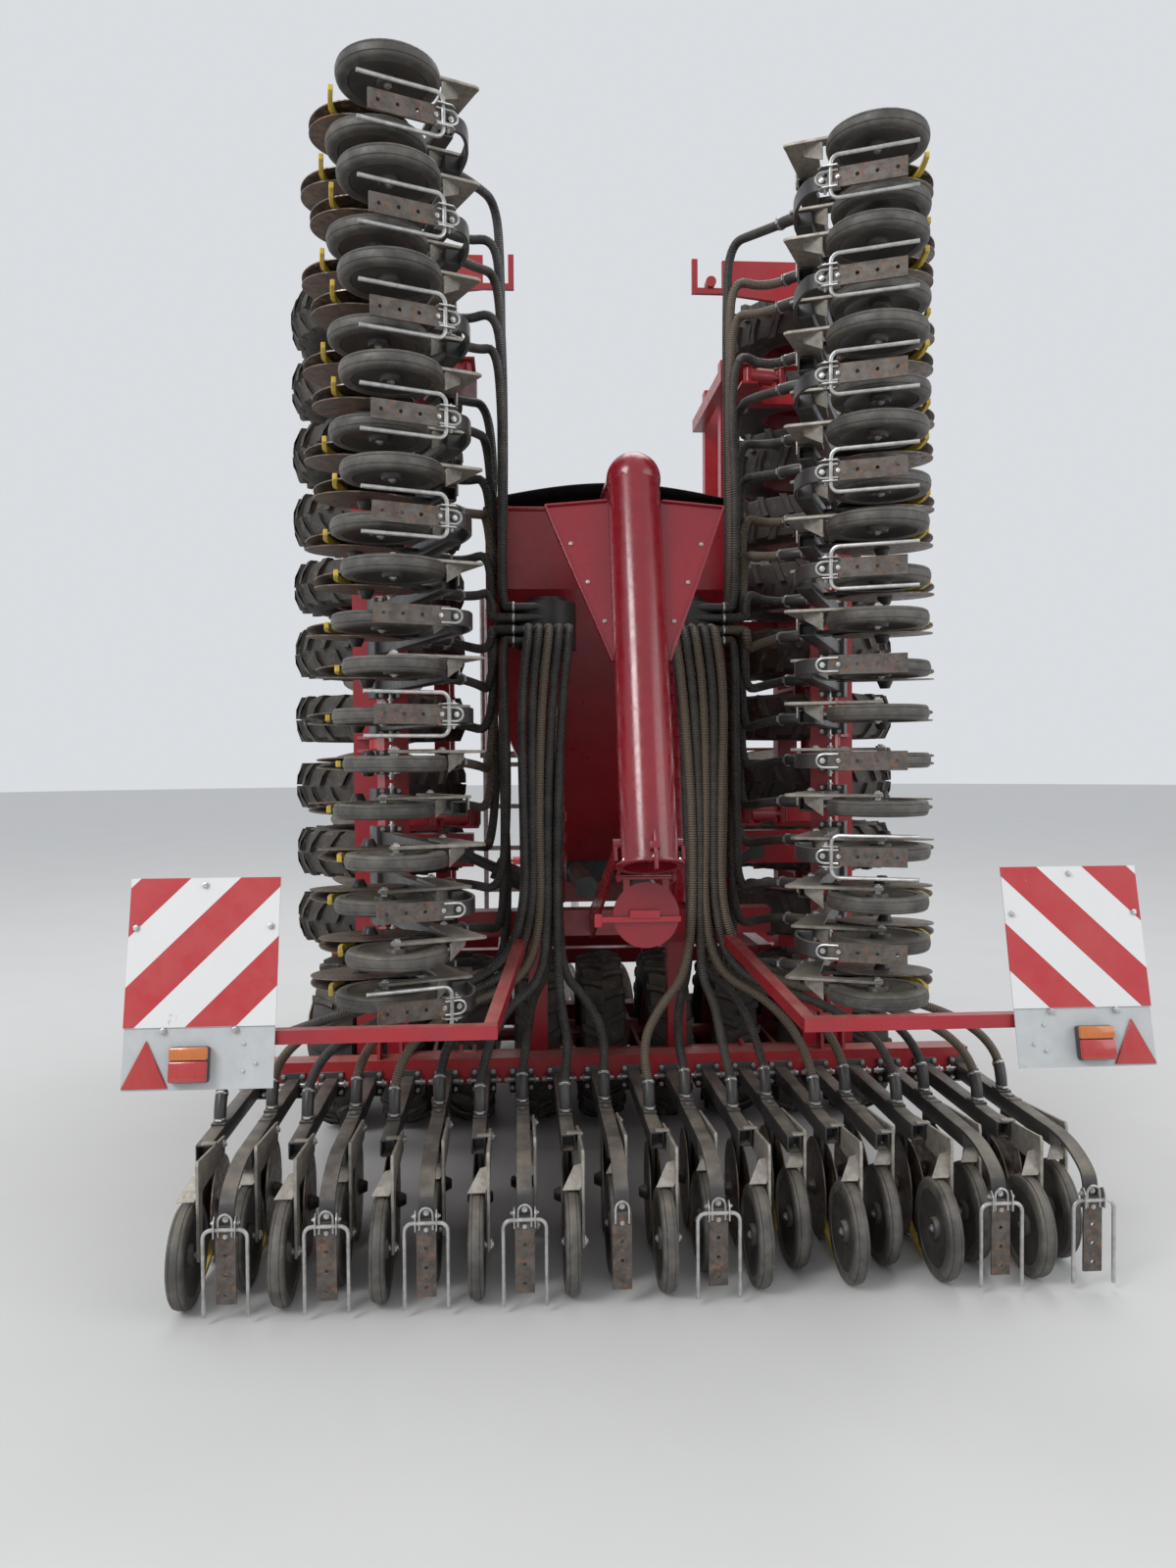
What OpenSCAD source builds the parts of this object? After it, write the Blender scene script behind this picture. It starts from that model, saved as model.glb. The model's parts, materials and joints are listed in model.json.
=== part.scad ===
// Folded seed drill: a trailed disc drill in three sections. The two outer
// sections stand upright beside the seed hopper, as on the road.
// X points right seen from behind, Y forwards, Z up, in millimetres, and the
// ground is z = 0. Lengths named v run forwards from the rear press wheels'
// axle, and heights named w are those of a section lowered for work.

/* [Seed rows] */
// Distance between two seed rows
row_pitch = 150; // [140:1:160]
// Diameter of a press wheel
press_d = 320; // [300:1:330]
// Width of a press wheel
press_w = 50; // [40:1:60]
// Distance from the rear row of press wheels to the front row
row_stagger = 130; // [120:1:140]
// Diameter of an opener disc
opener_d = 340; // [300:1:340]
// Width of a coulter arm
arm_w = 50; // [40:1:56]
// Height of a coulter arm
arm_h = 60; // [50:1:66]
// Diameter of a seed hose
hose_d = 34; // [28:1:38]

/* [Tyre packer] */
// Diameter of a packer tyre over its lugs
packer_d = 780; // [740:1:790]
// Width of a packer tyre
packer_w = 205; // [180:1:225]
// Diameter of a packer rim
rim_d = 410; // [380:1:440]
// Diameter of the packer's axle
axle_d = 60; // [50:1:70]

/* [Cultivator discs] */
// Diameter of a cultivator disc
disc_d = 460; // [420:1:470]
// Angle of a cultivator disc to the direction of travel
disc_angle = 14; // [10:1:18]

/* [Frame] */
// Side of the square packer and hinge beams
beam = 100; // [80:1:110]
// Side of the square beams that carry the cultivator discs
disc_beam = 80; // [60:1:90]
// Height of the fold hinges above the ground
hinge_h = 381; // [370:1:390]
// Distance from a section's edge to its fold hinge
hinge_inset = 481; // [476:1:486]
// Diameter of a fold hinge's pin
hinge_pin_d = 40; // [30:1:50]
// Side of the square seed bar that carries the coulters
seed_bar = 100; // [80:1:110]
// Angle by which a row of coulters is raised for the headland and the road
lift_angle = 23; // [18:1:24]

/* [Hopper] */
// Length of the seed hopper
hopper_l = 2450; // [2200:10:2500]
// Width of the seed hopper
hopper_w = 1000; // [900:10:1010]
// Height of the hopper's rim above the ground
hopper_top = 2680; // [2600:10:2760]
// Thickness of the hopper's sheet
hopper_wall = 4; // [3:1:8]

/* [Filling auger] */
// Diameter of the auger's tube
auger_d = 170; // [150:1:190]
// Lean of the auger's tube from upright
auger_lean = 18; // [14:1:20]

/* [Drawbar] */
// Height of the lower link pins above the ground
hitch_h = 620; // [560:10:700]
// Diameter of a lower link pin
link_pin_d = 36.6; // [28:0.1:36.6]
// Distance between the shoulders of the two lower link pins
link_span = 825; // [700:1:870]

/* [Marker boards] */
// Side of a square marker board
board = 423; // [400:1:440]

/* [Hidden] */
$fn = 48;

// Gap where two pieces seat on each other, and at a shaft that turns
seat = 0.3;
// Free space between a tyre and the beam beside it, and at other moving pieces
clear = 30;

// A section has twenty rows. Even rows have their press wheel in the rear row,
// odd rows in the front row, and only odd rows have a harrow behind them.
rows = 20;
section_w = rows * row_pitch;
packer_pitch = 2 * row_pitch;

// Fold hinge, and the distance to which a wing's height turns when folded
hinge_x = section_w / 2 - hinge_inset;
fold_x = hinge_x + hinge_h;
hinge_lug_r = 55;
hinge_gap = 70;

// Places along the machine, forwards from the rear press wheels' axle
press_r = press_d / 2;
bar_v = 980;
bar_w0 = 450;
lift_v = 1160;
lift_w = 440;
packer_r = packer_d / 2;
packer_v = 1750;
beam_rear_v = packer_v - packer_r - clear - beam / 2;
beam_front_v = packer_v + packer_r + clear + beam / 2;
disc_r = disc_d / 2;
disc_rear_v = beam_front_v + beam / 2 + 50 + disc_r;
disc_front_v = disc_rear_v + disc_d + 40;
disc_w0 = disc_r + 20;
disc_beam_w = 620;
rail_bottom = 950;
rail_top = 1100;
rail_x = 300;
rail_w = 80;
rear_cross_v = 850;
hopper_rear_v = 850;
hopper_front_v = hopper_rear_v + hopper_l;
hitch_v = 8100;
cross_r = 42;

// Marker boards lean forwards at the top, and their lamps reach furthest back
board_v = -285;
board_len = 595;
board_lean = 13;
lamp_t = 40;
lamp_w = 110;
lamp_h = 100;
lamp_up = 20;
lamp_out = 20;
rear_v = board_v - lamp_t * cos(board_lean) - (board_len / 2 - lamp_up) * sin(board_lean);
mid_v = (hitch_v + cross_r + rear_v) / 2;

// Harrows of the odd rows, from the left seen from behind on the centre and
// from the outer end inwards on the wings: 2 plate and tine, 1 plate alone,
// 0 nothing and -1 the whole coulter missing
harrow_centre_kind = [2, 2, 2, 2, 1, 2, 0, 0, 2, 2];
harrow_left_kind = [2, 2, 2, 2, 2, 1, 2, 0, 1, 2];
harrow_right_kind = [-1, 2, 2, 2, 2, 2, 1, 1, 2, 1];

// Rows of each section as [x, front row, harrow kind], x as in work
rows_centre = [for (i = [0 : rows - 1])
    [(i - (rows - 1) / 2) * row_pitch, i % 2 == 1, i % 2 == 1 ? harrow_centre_kind[(i - 1) / 2] : 0]];
function wing_row_x(j) = section_w / 2 + (j + 0.5) * row_pitch;
rows_left = [for (j = [0 : rows - 1])
    [wing_row_x(j), j % 2 == 0, j % 2 == 0 ? harrow_left_kind[(rows - 2 - j) / 2] : 0]];
rows_right = [for (j = [0 : rows - 1])
    [wing_row_x(j), j % 2 == 1, j % 2 == 1 ? harrow_right_kind[(rows - 1 - j) / 2] : 0]];

red = [0.55, 0.03, 0.08];
black = [0.09, 0.09, 0.10];
rubber = [0.16, 0.15, 0.14];
steel = [0.45, 0.44, 0.42];
zinc = [0.68, 0.68, 0.66];

// Placing

module placed() translate([0, -mid_v, 0]) children();

module folded(side)
    mirror([side == "left" ? 1 : 0, 0, 0])
        translate([hinge_x, 0, hinge_h]) rotate([0, -90, 0]) translate([-hinge_x, 0, -hinge_h])
            children();

module raised()
    translate([0, lift_v, lift_w]) rotate([-lift_angle, 0, 0]) translate([0, -lift_v, -lift_w])
        children();

// Simple solids

module box(x, y, z)
    translate([x[0], y[0], z[0]]) cube([x[1] - x[0], y[1] - y[0], z[1] - z[0]]);

module rod_x(x, v, w, r) translate([x[0], v, w]) rotate([0, 90, 0]) cylinder(h = x[1] - x[0], r = r);

module rod_y(x, v, w, r) translate([x, v[0], w]) rotate([-90, 0, 0]) cylinder(h = v[1] - v[0], r = r);

module rod_z(x, v, w, r) translate([x, v, w[0]]) cylinder(h = w[1] - w[0], r = r);

module rod(p, q, r) {
    d = q - p;
    translate(p) rotate([0, atan2(norm([d[0], d[1]]), d[2]), atan2(d[1], d[0])])
        cylinder(h = norm(d), r = r);
}

// A square tube between two points, with level sides
module square_bar(p, q, side) {
    d = q - p;
    translate(p) rotate([0, 0, atan2(d[1], d[0])]) rotate([0, atan2(norm([d[0], d[1]]), d[2]), 0])
        translate([-side / 2, -side / 2, 0]) cube([side, side, norm(d)]);
}

// A plate across x whose outline is given as [v, w] points
module plate_x(x, outline)
    translate([x[0], 0, 0]) rotate([90, 0, 90]) linear_extrude(x[1] - x[0]) polygon(outline);

// A plate across v whose outline is given as [x, w] points
module plate_y(v, outline)
    translate([0, v[1], 0]) rotate([90, 0, 0]) linear_extrude(v[1] - v[0]) polygon(outline);

// A hose of even thickness along a list of points, with flat ends
function unit(a) = a / norm(a);
function along(pts, i) = unit(pts[min(i + 1, len(pts) - 1)] - pts[max(i - 1, 0)]);
module hose(pts, r, sides = 6) {
    n = len(pts);
    ring = [for (i = [0 : n - 1])
        let (t = along(pts, i),
             a = unit(cross(t, abs(t[0]) > 0.9 ? [0, 1, 0] : [1, 0, 0])),
             b = cross(t, a))
        for (s = [0 : sides - 1]) pts[i] + r * (cos(360 * s / sides) * a + sin(360 * s / sides) * b)];
    side_faces = [for (i = [0 : n - 2], s = [0 : sides - 1])
        [i * sides + s, (i + 1) * sides + s, (i + 1) * sides + (s + 1) % sides, i * sides + (s + 1) % sides]];
    ends = [[for (s = [0 : sides - 1]) s], [for (s = [sides - 1 : -1 : 0]) (n - 1) * sides + s]];
    polyhedron(ring, concat(side_faces, ends), convexity = 4);
}

// Points of a smooth route: a quadratic blend through the middle of each leg
function bend(p, q, s, n) = [for (i = [1 : n])
    let (t = i / n) (1 - t) * (1 - t) * p + 2 * t * (1 - t) * q + t * t * s];
function smooth(pts, n = 3) = len(pts) < 3 ? pts : concat([pts[0]],
    [for (i = [1 : len(pts) - 2])
        let (p = i == 1 ? pts[0] : (pts[i - 1] + pts[i]) / 2,
             s = i == len(pts) - 2 ? pts[i + 1] : (pts[i] + pts[i + 1]) / 2)
        each bend(p, pts[i], s, n)]);

// Coulters: everything that one row has, about x = 0 in the lowered place

opener_ahead = press_r + 20 + opener_d / 2;
opener_w0 = opener_d / 2 + 2;
arm_w0 = bar_w0 - seed_bar / 2 + 10;
lever_t = 10;
lever_x = press_w / 2 + 7;
axle_r = 12;
boot_r = hose_d / 2 + 5;
boot_back = 55;
function wheel_v(front) = front ? row_stagger : 0;
function opener_v(front) = wheel_v(front) + opener_ahead;
function boot_v(front) = opener_v(front) + boot_back;

module coulter(front, harrow) {
    wv = wheel_v(front);
    ov = opener_v(front);
    arm_end = front ? 110 : 185;
    // arm, its clamp on the seed bar and the seed boot on top of it
    box([-arm_w / 2, arm_w / 2], [arm_end, bar_v - seed_bar / 2 - seat], [arm_w0 - arm_h / 2, arm_w0 + arm_h / 2]);
    rod([0, boot_v(front), arm_w0 + arm_h / 2 - 4], [0, boot_v(front) + 30, arm_w0 + arm_h / 2 + 96], boot_r);
    // shank between the opener discs, with a boss on each side
    box([-7, 7], [ov - 50, ov + 50], [opener_w0 - 20, arm_w0]);
    for (s = [-1, 1]) translate([0, ov, opener_w0]) rotate([0, 90 * s, 3 * s]) cylinder(h = 44, r = 30);
    // lever beside the press wheel, its axle and the scraper above the wheel
    plate_x([lever_x, lever_x + lever_t],
        [[wv - 18, press_r - 18], [wv + 18, press_r - 18], [wv + 24, arm_w0 - 60], [ov - 40, arm_w0 - 50],
         [ov - 40, arm_w0 + 20], [wv, arm_w0 + 20], [wv - 18, arm_w0 - 10]]);
    box([0, lever_x + 1], [ov - 105, ov - 45], [arm_w0 - 15, arm_w0 + 15]);
    rod_x([-press_w / 2, lever_x + 1], wv, press_r, axle_r);
    plate_y([wv + 2, wv + 8], [[-press_w / 2, press_d + 8], [press_w / 2, press_d + 8], [lever_x + 2, press_d + 20],
        [lever_x + 2, arm_w0 - 40], [8, arm_w0 - 48]]);
    // bent strap from the arm's end down to the harrow plate
    if (harrow > 0)
        plate_x([-22, 22], [[arm_end + 1, arm_w0 + arm_h / 2], [arm_end + 1, arm_w0 + arm_h / 2 - 14],
            [30, arm_w0 - 2], [harrow_v + 60, 372], [harrow_v + 20, 325], [harrow_v + 12, 270], [harrow_v, 270],
            [harrow_v, 332], [harrow_v + 50, 388], [25, arm_w0 + 16]]);
}

module opener_pair(front)
    for (s = [-1, 1]) translate([0, opener_v(front), opener_w0]) rotate([0, 90 * s, 3 * s])
        translate([0, 0, 12]) difference() {
            cylinder(h = 4, r = opener_d / 2);
            translate([0, 0, -1]) cylinder(h = 6, r = 30 + seat);
        }

// Harrow plate behind a front row, and its tine with two legs
harrow_v = -120;
harrow_plate_t = 8;
tine_r = 6.5;
tine_half = 66;
tine_top = 290;
tine_bend = 24;
module harrow(kind) {
    box([-30, 30], [harrow_v - harrow_plate_t, harrow_v], [60, 300]);
    if (kind == 2) {
        v = harrow_v - harrow_plate_t - tine_r + 1.5;
        rod_x([-tine_half + tine_bend, tine_half - tine_bend], v, tine_top, tine_r);
        for (s = [-1, 1]) {
            rod_z(s * tine_half, v, [25, tine_top - tine_bend], tine_r);
            translate([s * (tine_half - tine_bend), v, tine_top - tine_bend])
                rotate([90, 0, s > 0 ? 0 : 180]) rotate_extrude(angle = 90) translate([tine_bend, 0]) circle(tine_r);
        }
    }
}

// Half profile of a press wheel as [radius, x], mirrored to its other side
press_half = [[axle_r + seat, 22], [34, 22], [34, 6], [press_r - 48, 6], [press_r - 42, press_w / 2 - 3],
    [press_r - 12, press_w / 2], [press_r, press_w / 2 - 9], [press_r, 6], [press_r - 6, 4]];
module press_wheel()
    rotate([0, 90, 0]) rotate_extrude()
        polygon(concat(press_half, [for (i = [len(press_half) - 1 : -1 : 0]) [press_half[i][0], -press_half[i][1]]]));

// Sections

module coulter_row(list)
    for (row = list) if (row[2] >= 0) translate([row[0], 0, 0]) coulter(row[1], row[2]);

module opener_row(list)
    for (row = list) if (row[2] >= 0) translate([row[0], 0, 0]) opener_pair(row[1]);

module harrow_row(list)
    for (row = list) if (row[2] > 0) translate([row[0], 0, 0]) harrow(row[2]);

module press_row(list, front)
    for (row = list) if (row[1] == front && row[2] >= 0)
        translate([row[0], wheel_v(front), press_r]) press_wheel();

// Seed bar with the eyes that it lifts about, and the forks of its cylinders
lift_eye_r = 34;
lift_pin_r = 18;
lift_eye_w = 40;
lift_cheek_t = 14;
lift_inset = 600;
fork_gap = 76;
fork_t = 12;
fork_top = 200;
cylinder_inset = 900;
module seed_bar_set(mid) {
    box([mid - section_w / 2 + 40, mid + section_w / 2 - 40],
        [bar_v - seed_bar / 2, bar_v + seed_bar / 2], [bar_w0 - seed_bar / 2, bar_w0 + seed_bar / 2]);
    for (s = [-1, 1]) {
        x = mid + s * lift_inset;
        difference() {
            union() {
                rod_x([x - lift_eye_w / 2, x + lift_eye_w / 2], lift_v, lift_w, lift_eye_r);
                box([x - lift_eye_w / 2, x + lift_eye_w / 2], [bar_v + seed_bar / 2 + seat, lift_v],
                    [lift_w - 25, lift_w + 25]);
            }
            rod_x([x - lift_eye_w, x + lift_eye_w], lift_v, lift_w, lift_pin_r + seat);
        }
        for (c = [-1, 1]) {
            fx = mid + s * cylinder_inset + c * (fork_gap + fork_t) / 2;
            foot = bar_w0 + seed_bar / 2 + seat;
            plate_x([fx - fork_t / 2, fx + fork_t / 2], [[bar_v - 40, foot], [bar_v + 40, foot],
                [bar_v + 22, bar_w0 + fork_top], [bar_v - 22, bar_w0 + fork_top]]);
        }
    }
}

// Clevises on the rear packer beam in which the seed bar lifts, with their pins
module lift_clevises(mid)
    for (s = [-1, 1]) {
        x = mid + s * lift_inset;
        for (c = [-1, 1]) {
            cx = x + c * (lift_eye_w / 2 + 1 + lift_cheek_t / 2);
            face = beam_rear_v - beam / 2 - seat;
            plate_x([cx - lift_cheek_t / 2, cx + lift_cheek_t / 2],
                [[lift_v - 30, lift_w - 30], [face, hinge_h - beam / 2 + 10], [face, lift_w + 40],
                 [lift_v - 30, lift_w + 34]]);
        }
        rod_x([x - lift_eye_w / 2 - 14, x + lift_eye_w / 2 + 14], lift_v, lift_w, lift_pin_r);
    }

// Depth cylinders hang between the ears of posts on the rear packer beam, with
// the rod's eye in the seed bar's fork at rest. The fork is wide enough to pass
// on both sides of the barrel when the bar is lifted.
post_w = 90;
post_d = 60;
ear_pin_v = 1030;
ear_pin_w = bar_w0 + 375;
post_top = ear_pin_w + 35;
ear_t = 10;
cyl_r = 32;
cyl_rod_r = 15;
eye_r = 20;
barrel_len = 105;
ear_x = cyl_r + 2 + ear_t / 2;
function raise_point(v, w, a) = [
    lift_v + (v - lift_v) * cos(a) + (w - lift_w) * sin(a),
    lift_w - (v - lift_v) * sin(a) + (w - lift_w) * cos(a)];
module depth_posts(mid)
    for (s = [-1, 1]) {
        x = mid + s * cylinder_inset;
        back = beam_rear_v - post_d / 2;
        box([x - post_w / 2, x + post_w / 2], [back, back + post_d],
            [hinge_h + beam / 2 + seat, post_top]);
        for (c = [-1, 1]) plate_x([x + c * ear_x - ear_t / 2, x + c * ear_x + ear_t / 2],
            [[ear_pin_v - 35, ear_pin_w - 30], [back + 5, ear_pin_w - 110], [back + 5, post_top],
             [ear_pin_v - 35, post_top]]);
    }
module depth_cylinders(mid, a)
    for (s = [-1, 1]) {
        x = mid + s * cylinder_inset;
        fork = raise_point(bar_v, bar_w0 + fork_top - 26, a);
        low = [x, fork[0], fork[1]];
        top = [x, ear_pin_v, ear_pin_w];
        part_way = top - unit(top - low) * barrel_len;
        rod(part_way, top, cyl_r);
        rod(low, top, cyl_rod_r);
        rod_x([x - fork_gap / 2 + seat, x + fork_gap / 2 - seat], low[1], low[2], eye_r);
        rod_x([x - cyl_r - 1, x + cyl_r + 1], top[1], top[2], eye_r);
    }

// Tyre packer: bearing plates between tyres, axle with rims, and tyres
bearing_r = 62;
plate_t = 16;
module packer_frame(x0, x1, plates) {
    for (v = [beam_rear_v, beam_front_v])
        box([x0, x1], [v - beam / 2, v + beam / 2], [hinge_h - beam / 2, hinge_h + beam / 2]);
    for (x = plates) difference() {
        union() {
            box([x - plate_t / 2, x + plate_t / 2], [beam_rear_v + beam / 2 + seat, beam_front_v - beam / 2 - seat],
                [hinge_h - beam / 2, hinge_h + beam / 2]);
            rod_x([x - 34, x + 34], packer_v, packer_r, bearing_r);
        }
        rod_x([x - 40, x + 40], packer_v, packer_r, axle_d / 2 + seat);
    }
}

module packer_axle(x0, x1, tyres) {
    rod_x([x0, x1], packer_v, packer_r, axle_d / 2);
    for (x = tyres) translate([x, packer_v, packer_r]) rotate([0, 90, 0]) rotate_extrude()
        polygon([[axle_d / 2 - 5, -8], [axle_d / 2 - 5, 8], [rim_d / 2 - 30, 8], [rim_d / 2 - 14, packer_w * 0.36],
            [rim_d / 2, packer_w * 0.38], [rim_d / 2, -packer_w * 0.38], [rim_d / 2 - 14, -packer_w * 0.36],
            [rim_d / 2 - 30, -8]]);
}

// Half profile of a packer tyre's carcass as [radius, x]
tread_h = 22;
carcass_r = packer_r - tread_h;
tyre_half = [[rim_d / 2 + seat, packer_w * 0.38], [rim_d / 2 + 60, packer_w / 2], [carcass_r - 36, packer_w * 0.49],
    [carcass_r, packer_w * 0.3]];
module packer_tyre() rotate([0, 90, 0]) {
    rotate_extrude()
        polygon(concat(tyre_half, [for (i = [len(tyre_half) - 1 : -1 : 0]) [tyre_half[i][0], -tyre_half[i][1]]]));
    for (side = [0, 1], i = [0 : tread_bars - 1])
        mirror([0, 0, side]) rotate([0, 0, (i + side / 2) * 360 / tread_bars]) tread_bar();
}

// Every second lug of the tread: a bar that slants from the middle out over the
// shoulder, the two sides half a pitch apart. The ends of its flat top reach packer_r.
tread_bars = 10;
bar_t = 30;
bar_slant = 100;
bar_reach = [3, packer_w * 0.45];
bar_root = carcass_r - 40;
module tread_bar() {
    across = (bar_slant + bar_t) / 2;
    top = sqrt(packer_r * packer_r - across * across);
    translate([bar_root, 0, 0]) rotate([90, 0, 90]) linear_extrude(top - bar_root)
        polygon([[across - bar_t, bar_reach[0]], [across, bar_reach[0]],
            [bar_t - across, bar_reach[1]], [-across, bar_reach[1]]]);
}
module packer_tyres(tyres)
    for (x = tyres) translate([x, packer_v, packer_r]) packer_tyre();

centre_tyres = [for (i = [-4 : 4]) i * packer_pitch];
wing_tyres = [for (j = [0 : 9]) section_w / 2 + packer_w / 2 + 17.5 + j * packer_pitch];
wing_plates = [for (j = [0, 3, 6, 9]) wing_tyres[j] + packer_pitch / 2];

// Cultivator frame: two beams, arms over them that stand on the packer's front
// beam, and a stalk down to each disc
stalk_x = 55;
stalk_t = 16;
hub_r = 28;
disc_arm_w = 70;
disc_arm_h = 60;
module cultivator_frame(x0, x1, arms) {
    beam_top = disc_beam_w + disc_beam / 2;
    for (v = [disc_rear_v, disc_front_v])
        box([x0, x1], [v - disc_beam / 2, v + disc_beam / 2], [disc_beam_w - disc_beam / 2, beam_top]);
    for (c = arms) {
        x = [c - disc_arm_w / 2, c + disc_arm_w / 2];
        box(x, [beam_front_v - disc_arm_w / 2, disc_front_v + disc_beam / 2], [beam_top + seat, beam_top + disc_arm_h]);
        box(x, [beam_front_v - disc_arm_w / 2, beam_front_v + disc_arm_w / 2], [hinge_h + beam / 2 + seat, beam_top]);
    }
}
module disc_stalk(front, aside) {
    v = front ? disc_front_v : disc_rear_v;
    box([aside - stalk_t / 2, aside + stalk_t / 2], [v - 35, v + 35],
        [disc_w0 - 30, disc_beam_w - disc_beam / 2 - seat]);
    rod_x([min(aside, 10 * sign(aside)), max(aside, 10 * sign(aside))], v, disc_w0, hub_r);
}
module cultivator_disc(front)
    translate([0, front ? disc_front_v : disc_rear_v, disc_w0]) rotate([0, 0, front ? disc_angle : -disc_angle])
        rotate([0, 90, 0]) translate([0, 0, -3]) difference() {
            cylinder(h = 6, r = disc_r);
            translate([0, 0, -1]) cylinder(h = 8, r = hub_r + seat);
        }

// Fold hinge: a lug on the centre's beam between two cheeks on the wing's beam
lug_t = 36;
cheek_t = 24;
module hinge_lug(v)
    difference() {
        union() {
            rod_y(hinge_x, [v - lug_t / 2, v + lug_t / 2], hinge_h, hinge_lug_r);
            box([hinge_x - hinge_gap, hinge_x], [v - lug_t / 2, v + lug_t / 2],
                [hinge_h - beam / 2 + 5, hinge_h + beam / 2 - 5]);
        }
        rod_y(hinge_x, [v - lug_t, v + lug_t], hinge_h, hinge_pin_d / 2 + seat);
    }
module hinge_cheeks(v) {
    for (s = [-1, 1]) {
        y = v + s * (lug_t / 2 + 1 + cheek_t / 2);
        rod_y(hinge_x, [y - cheek_t / 2, y + cheek_t / 2], hinge_h, hinge_lug_r);
        box([hinge_x, hinge_x + hinge_gap + 1], [y - cheek_t / 2, y + cheek_t / 2],
            [hinge_h - beam / 2 + 5, hinge_h + beam / 2 - 5]);
    }
    rod_y(hinge_x, [v - lug_t / 2 - 5, v + lug_t / 2 + 5], hinge_h, hinge_pin_d / 2);
}

// Chassis

fold_lug_w = 800;
fold_lug_x = 1948;
function folded_xz(x, w) = [fold_x - w, x - hinge_x + hinge_h];

module main_frame() color(red) placed() {
    packer_frame(-hinge_x + hinge_gap, hinge_x - hinge_gap, [-5, -1, 1, 5] * packer_pitch / 2);
    for (v = [beam_rear_v, beam_front_v]) for (s = [0, 1]) mirror([s, 0, 0]) hinge_lug(v);
    lift_clevises(0);
    depth_posts(0);
    for (s = [-1, 1]) {
        x = [s * rail_x - rail_w / 2, s * rail_x + rail_w / 2];
        box(x, [anchor_v + anchor_t + seat, hopper_front_v], [rail_bottom, rail_top]);
        for (v = [beam_rear_v, beam_front_v])
            box(x, [v - rail_w / 2, v + rail_w / 2], [hinge_h + beam / 2 + seat, rail_bottom - seat]);
        box(x, [disc_front_v - 30, disc_front_v + 30], [disc_beam_w + disc_beam / 2 + seat, rail_bottom - seat]);
        fold_anchor(s);
    }
    between = rail_x - rail_w / 2 - seat;
    for (v = [beam_front_v, hopper_front_v - 100])
        box([-between, between], [v - 50, v + 50], [rail_bottom + 10, rail_top - 10]);
    box([-620, 620], [rear_cross_v, rear_cross_v + rear_cross_d], [1000, rail_top]);
}

// Plates between the rear crossbeam and the rails, with the fold cylinders' barrels above
anchor_x = 270;
anchor_z = 1160;
anchor_t = 30;
rear_cross_d = 100;
anchor_v = rear_cross_v + rear_cross_d + seat;
module fold_anchor(s)
    plate_y([anchor_v, anchor_v + anchor_t],
        [[s * (anchor_x - 70), rail_bottom], [s * (anchor_x + 90), rail_bottom], [s * (anchor_x + 60), anchor_z + 60],
         [s * (anchor_x - 60), anchor_z + 60]]);

module cultivator_frame_centre() color(red) placed() {
    cultivator_frame(-section_w / 2 + 120, section_w / 2 - 120, [-900, -450, 450, 900]);
    for (row = rows_centre) translate([row[0], 0, 0]) disc_stalk(row[1], -sign(row[0]) * stalk_x);
}

module cultivator_discs_centre() color(steel) placed()
    for (row = rows_centre) translate([row[0], 0, 0]) cultivator_disc(row[1]);

// From the link pins back to the swivel, from there to the drawbar's blunt end,
// and from that to the jack
swivel_back = 300;
neck = 150;
jack_back = 350;
drawbar_w = 180;
swivel_v = hitch_v - swivel_back;
drawbar_tip = swivel_v - neck;
module drawbar() color(red) placed() {
    front = hopper_front_v + seat;
    plate_x([-drawbar_w / 2, drawbar_w / 2], [[front, rail_bottom], [front, rail_top], [front + 600, rail_top],
        [drawbar_tip, hitch_h + 90], [drawbar_tip, hitch_h - 90], [front + 500, rail_bottom - 20]]);
    for (s = [-1, 1]) {
        plate_y([front, front + 20], [[s * 90, rail_bottom], [s * (rail_x + 40), rail_bottom],
            [s * (rail_x + 40), rail_top], [s * 90, rail_top]]);
        // cheeks that hold the swivel's pin
        box([-60, 60], [drawbar_tip - 1, swivel_v + 60], s > 0 ? [hitch_h + 62, hitch_h + 90] : [hitch_h - 90, hitch_h - 62]);
    }
    rod_z(0, swivel_v, [hitch_h - 100, hitch_h + 100], 30);
}

module hitch_head() color(red) placed() difference() {
    union() {
        rod_z(0, swivel_v, [hitch_h - 60, hitch_h + 60], 60);
        box([-45, 45], [swivel_v, hitch_v], [hitch_h - 45, hitch_h + 45]);
        rod_x([-link_span / 2, link_span / 2], hitch_v, hitch_h, cross_r);
        rod_x([-link_span / 2 - 110, link_span / 2 + 110], hitch_v, hitch_h, link_pin_d / 2);
    }
    rod_z(0, swivel_v, [hitch_h - 70, hitch_h + 70], 30 + seat);
}

jack_v = drawbar_tip - jack_back;
jack_foot_r = 90;
jack_x = drawbar_w / 2 + jack_foot_r + 10;
jack_pivot_z = 700;
module parking_jack() color(zinc) placed() {
    rod_z(jack_x, jack_v, [160, jack_pivot_z + 120], 38);
    rod_z(jack_x, jack_v, [10, 170], 30);
    rod_z(jack_x, jack_v, [0, 12], jack_foot_r);
    rod_x([drawbar_w / 2 + seat, jack_x], jack_v, jack_pivot_z, 24);
    rod_x([drawbar_w / 2 + seat, drawbar_w / 2 + 14], jack_v, jack_pivot_z, 50);
}

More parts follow.
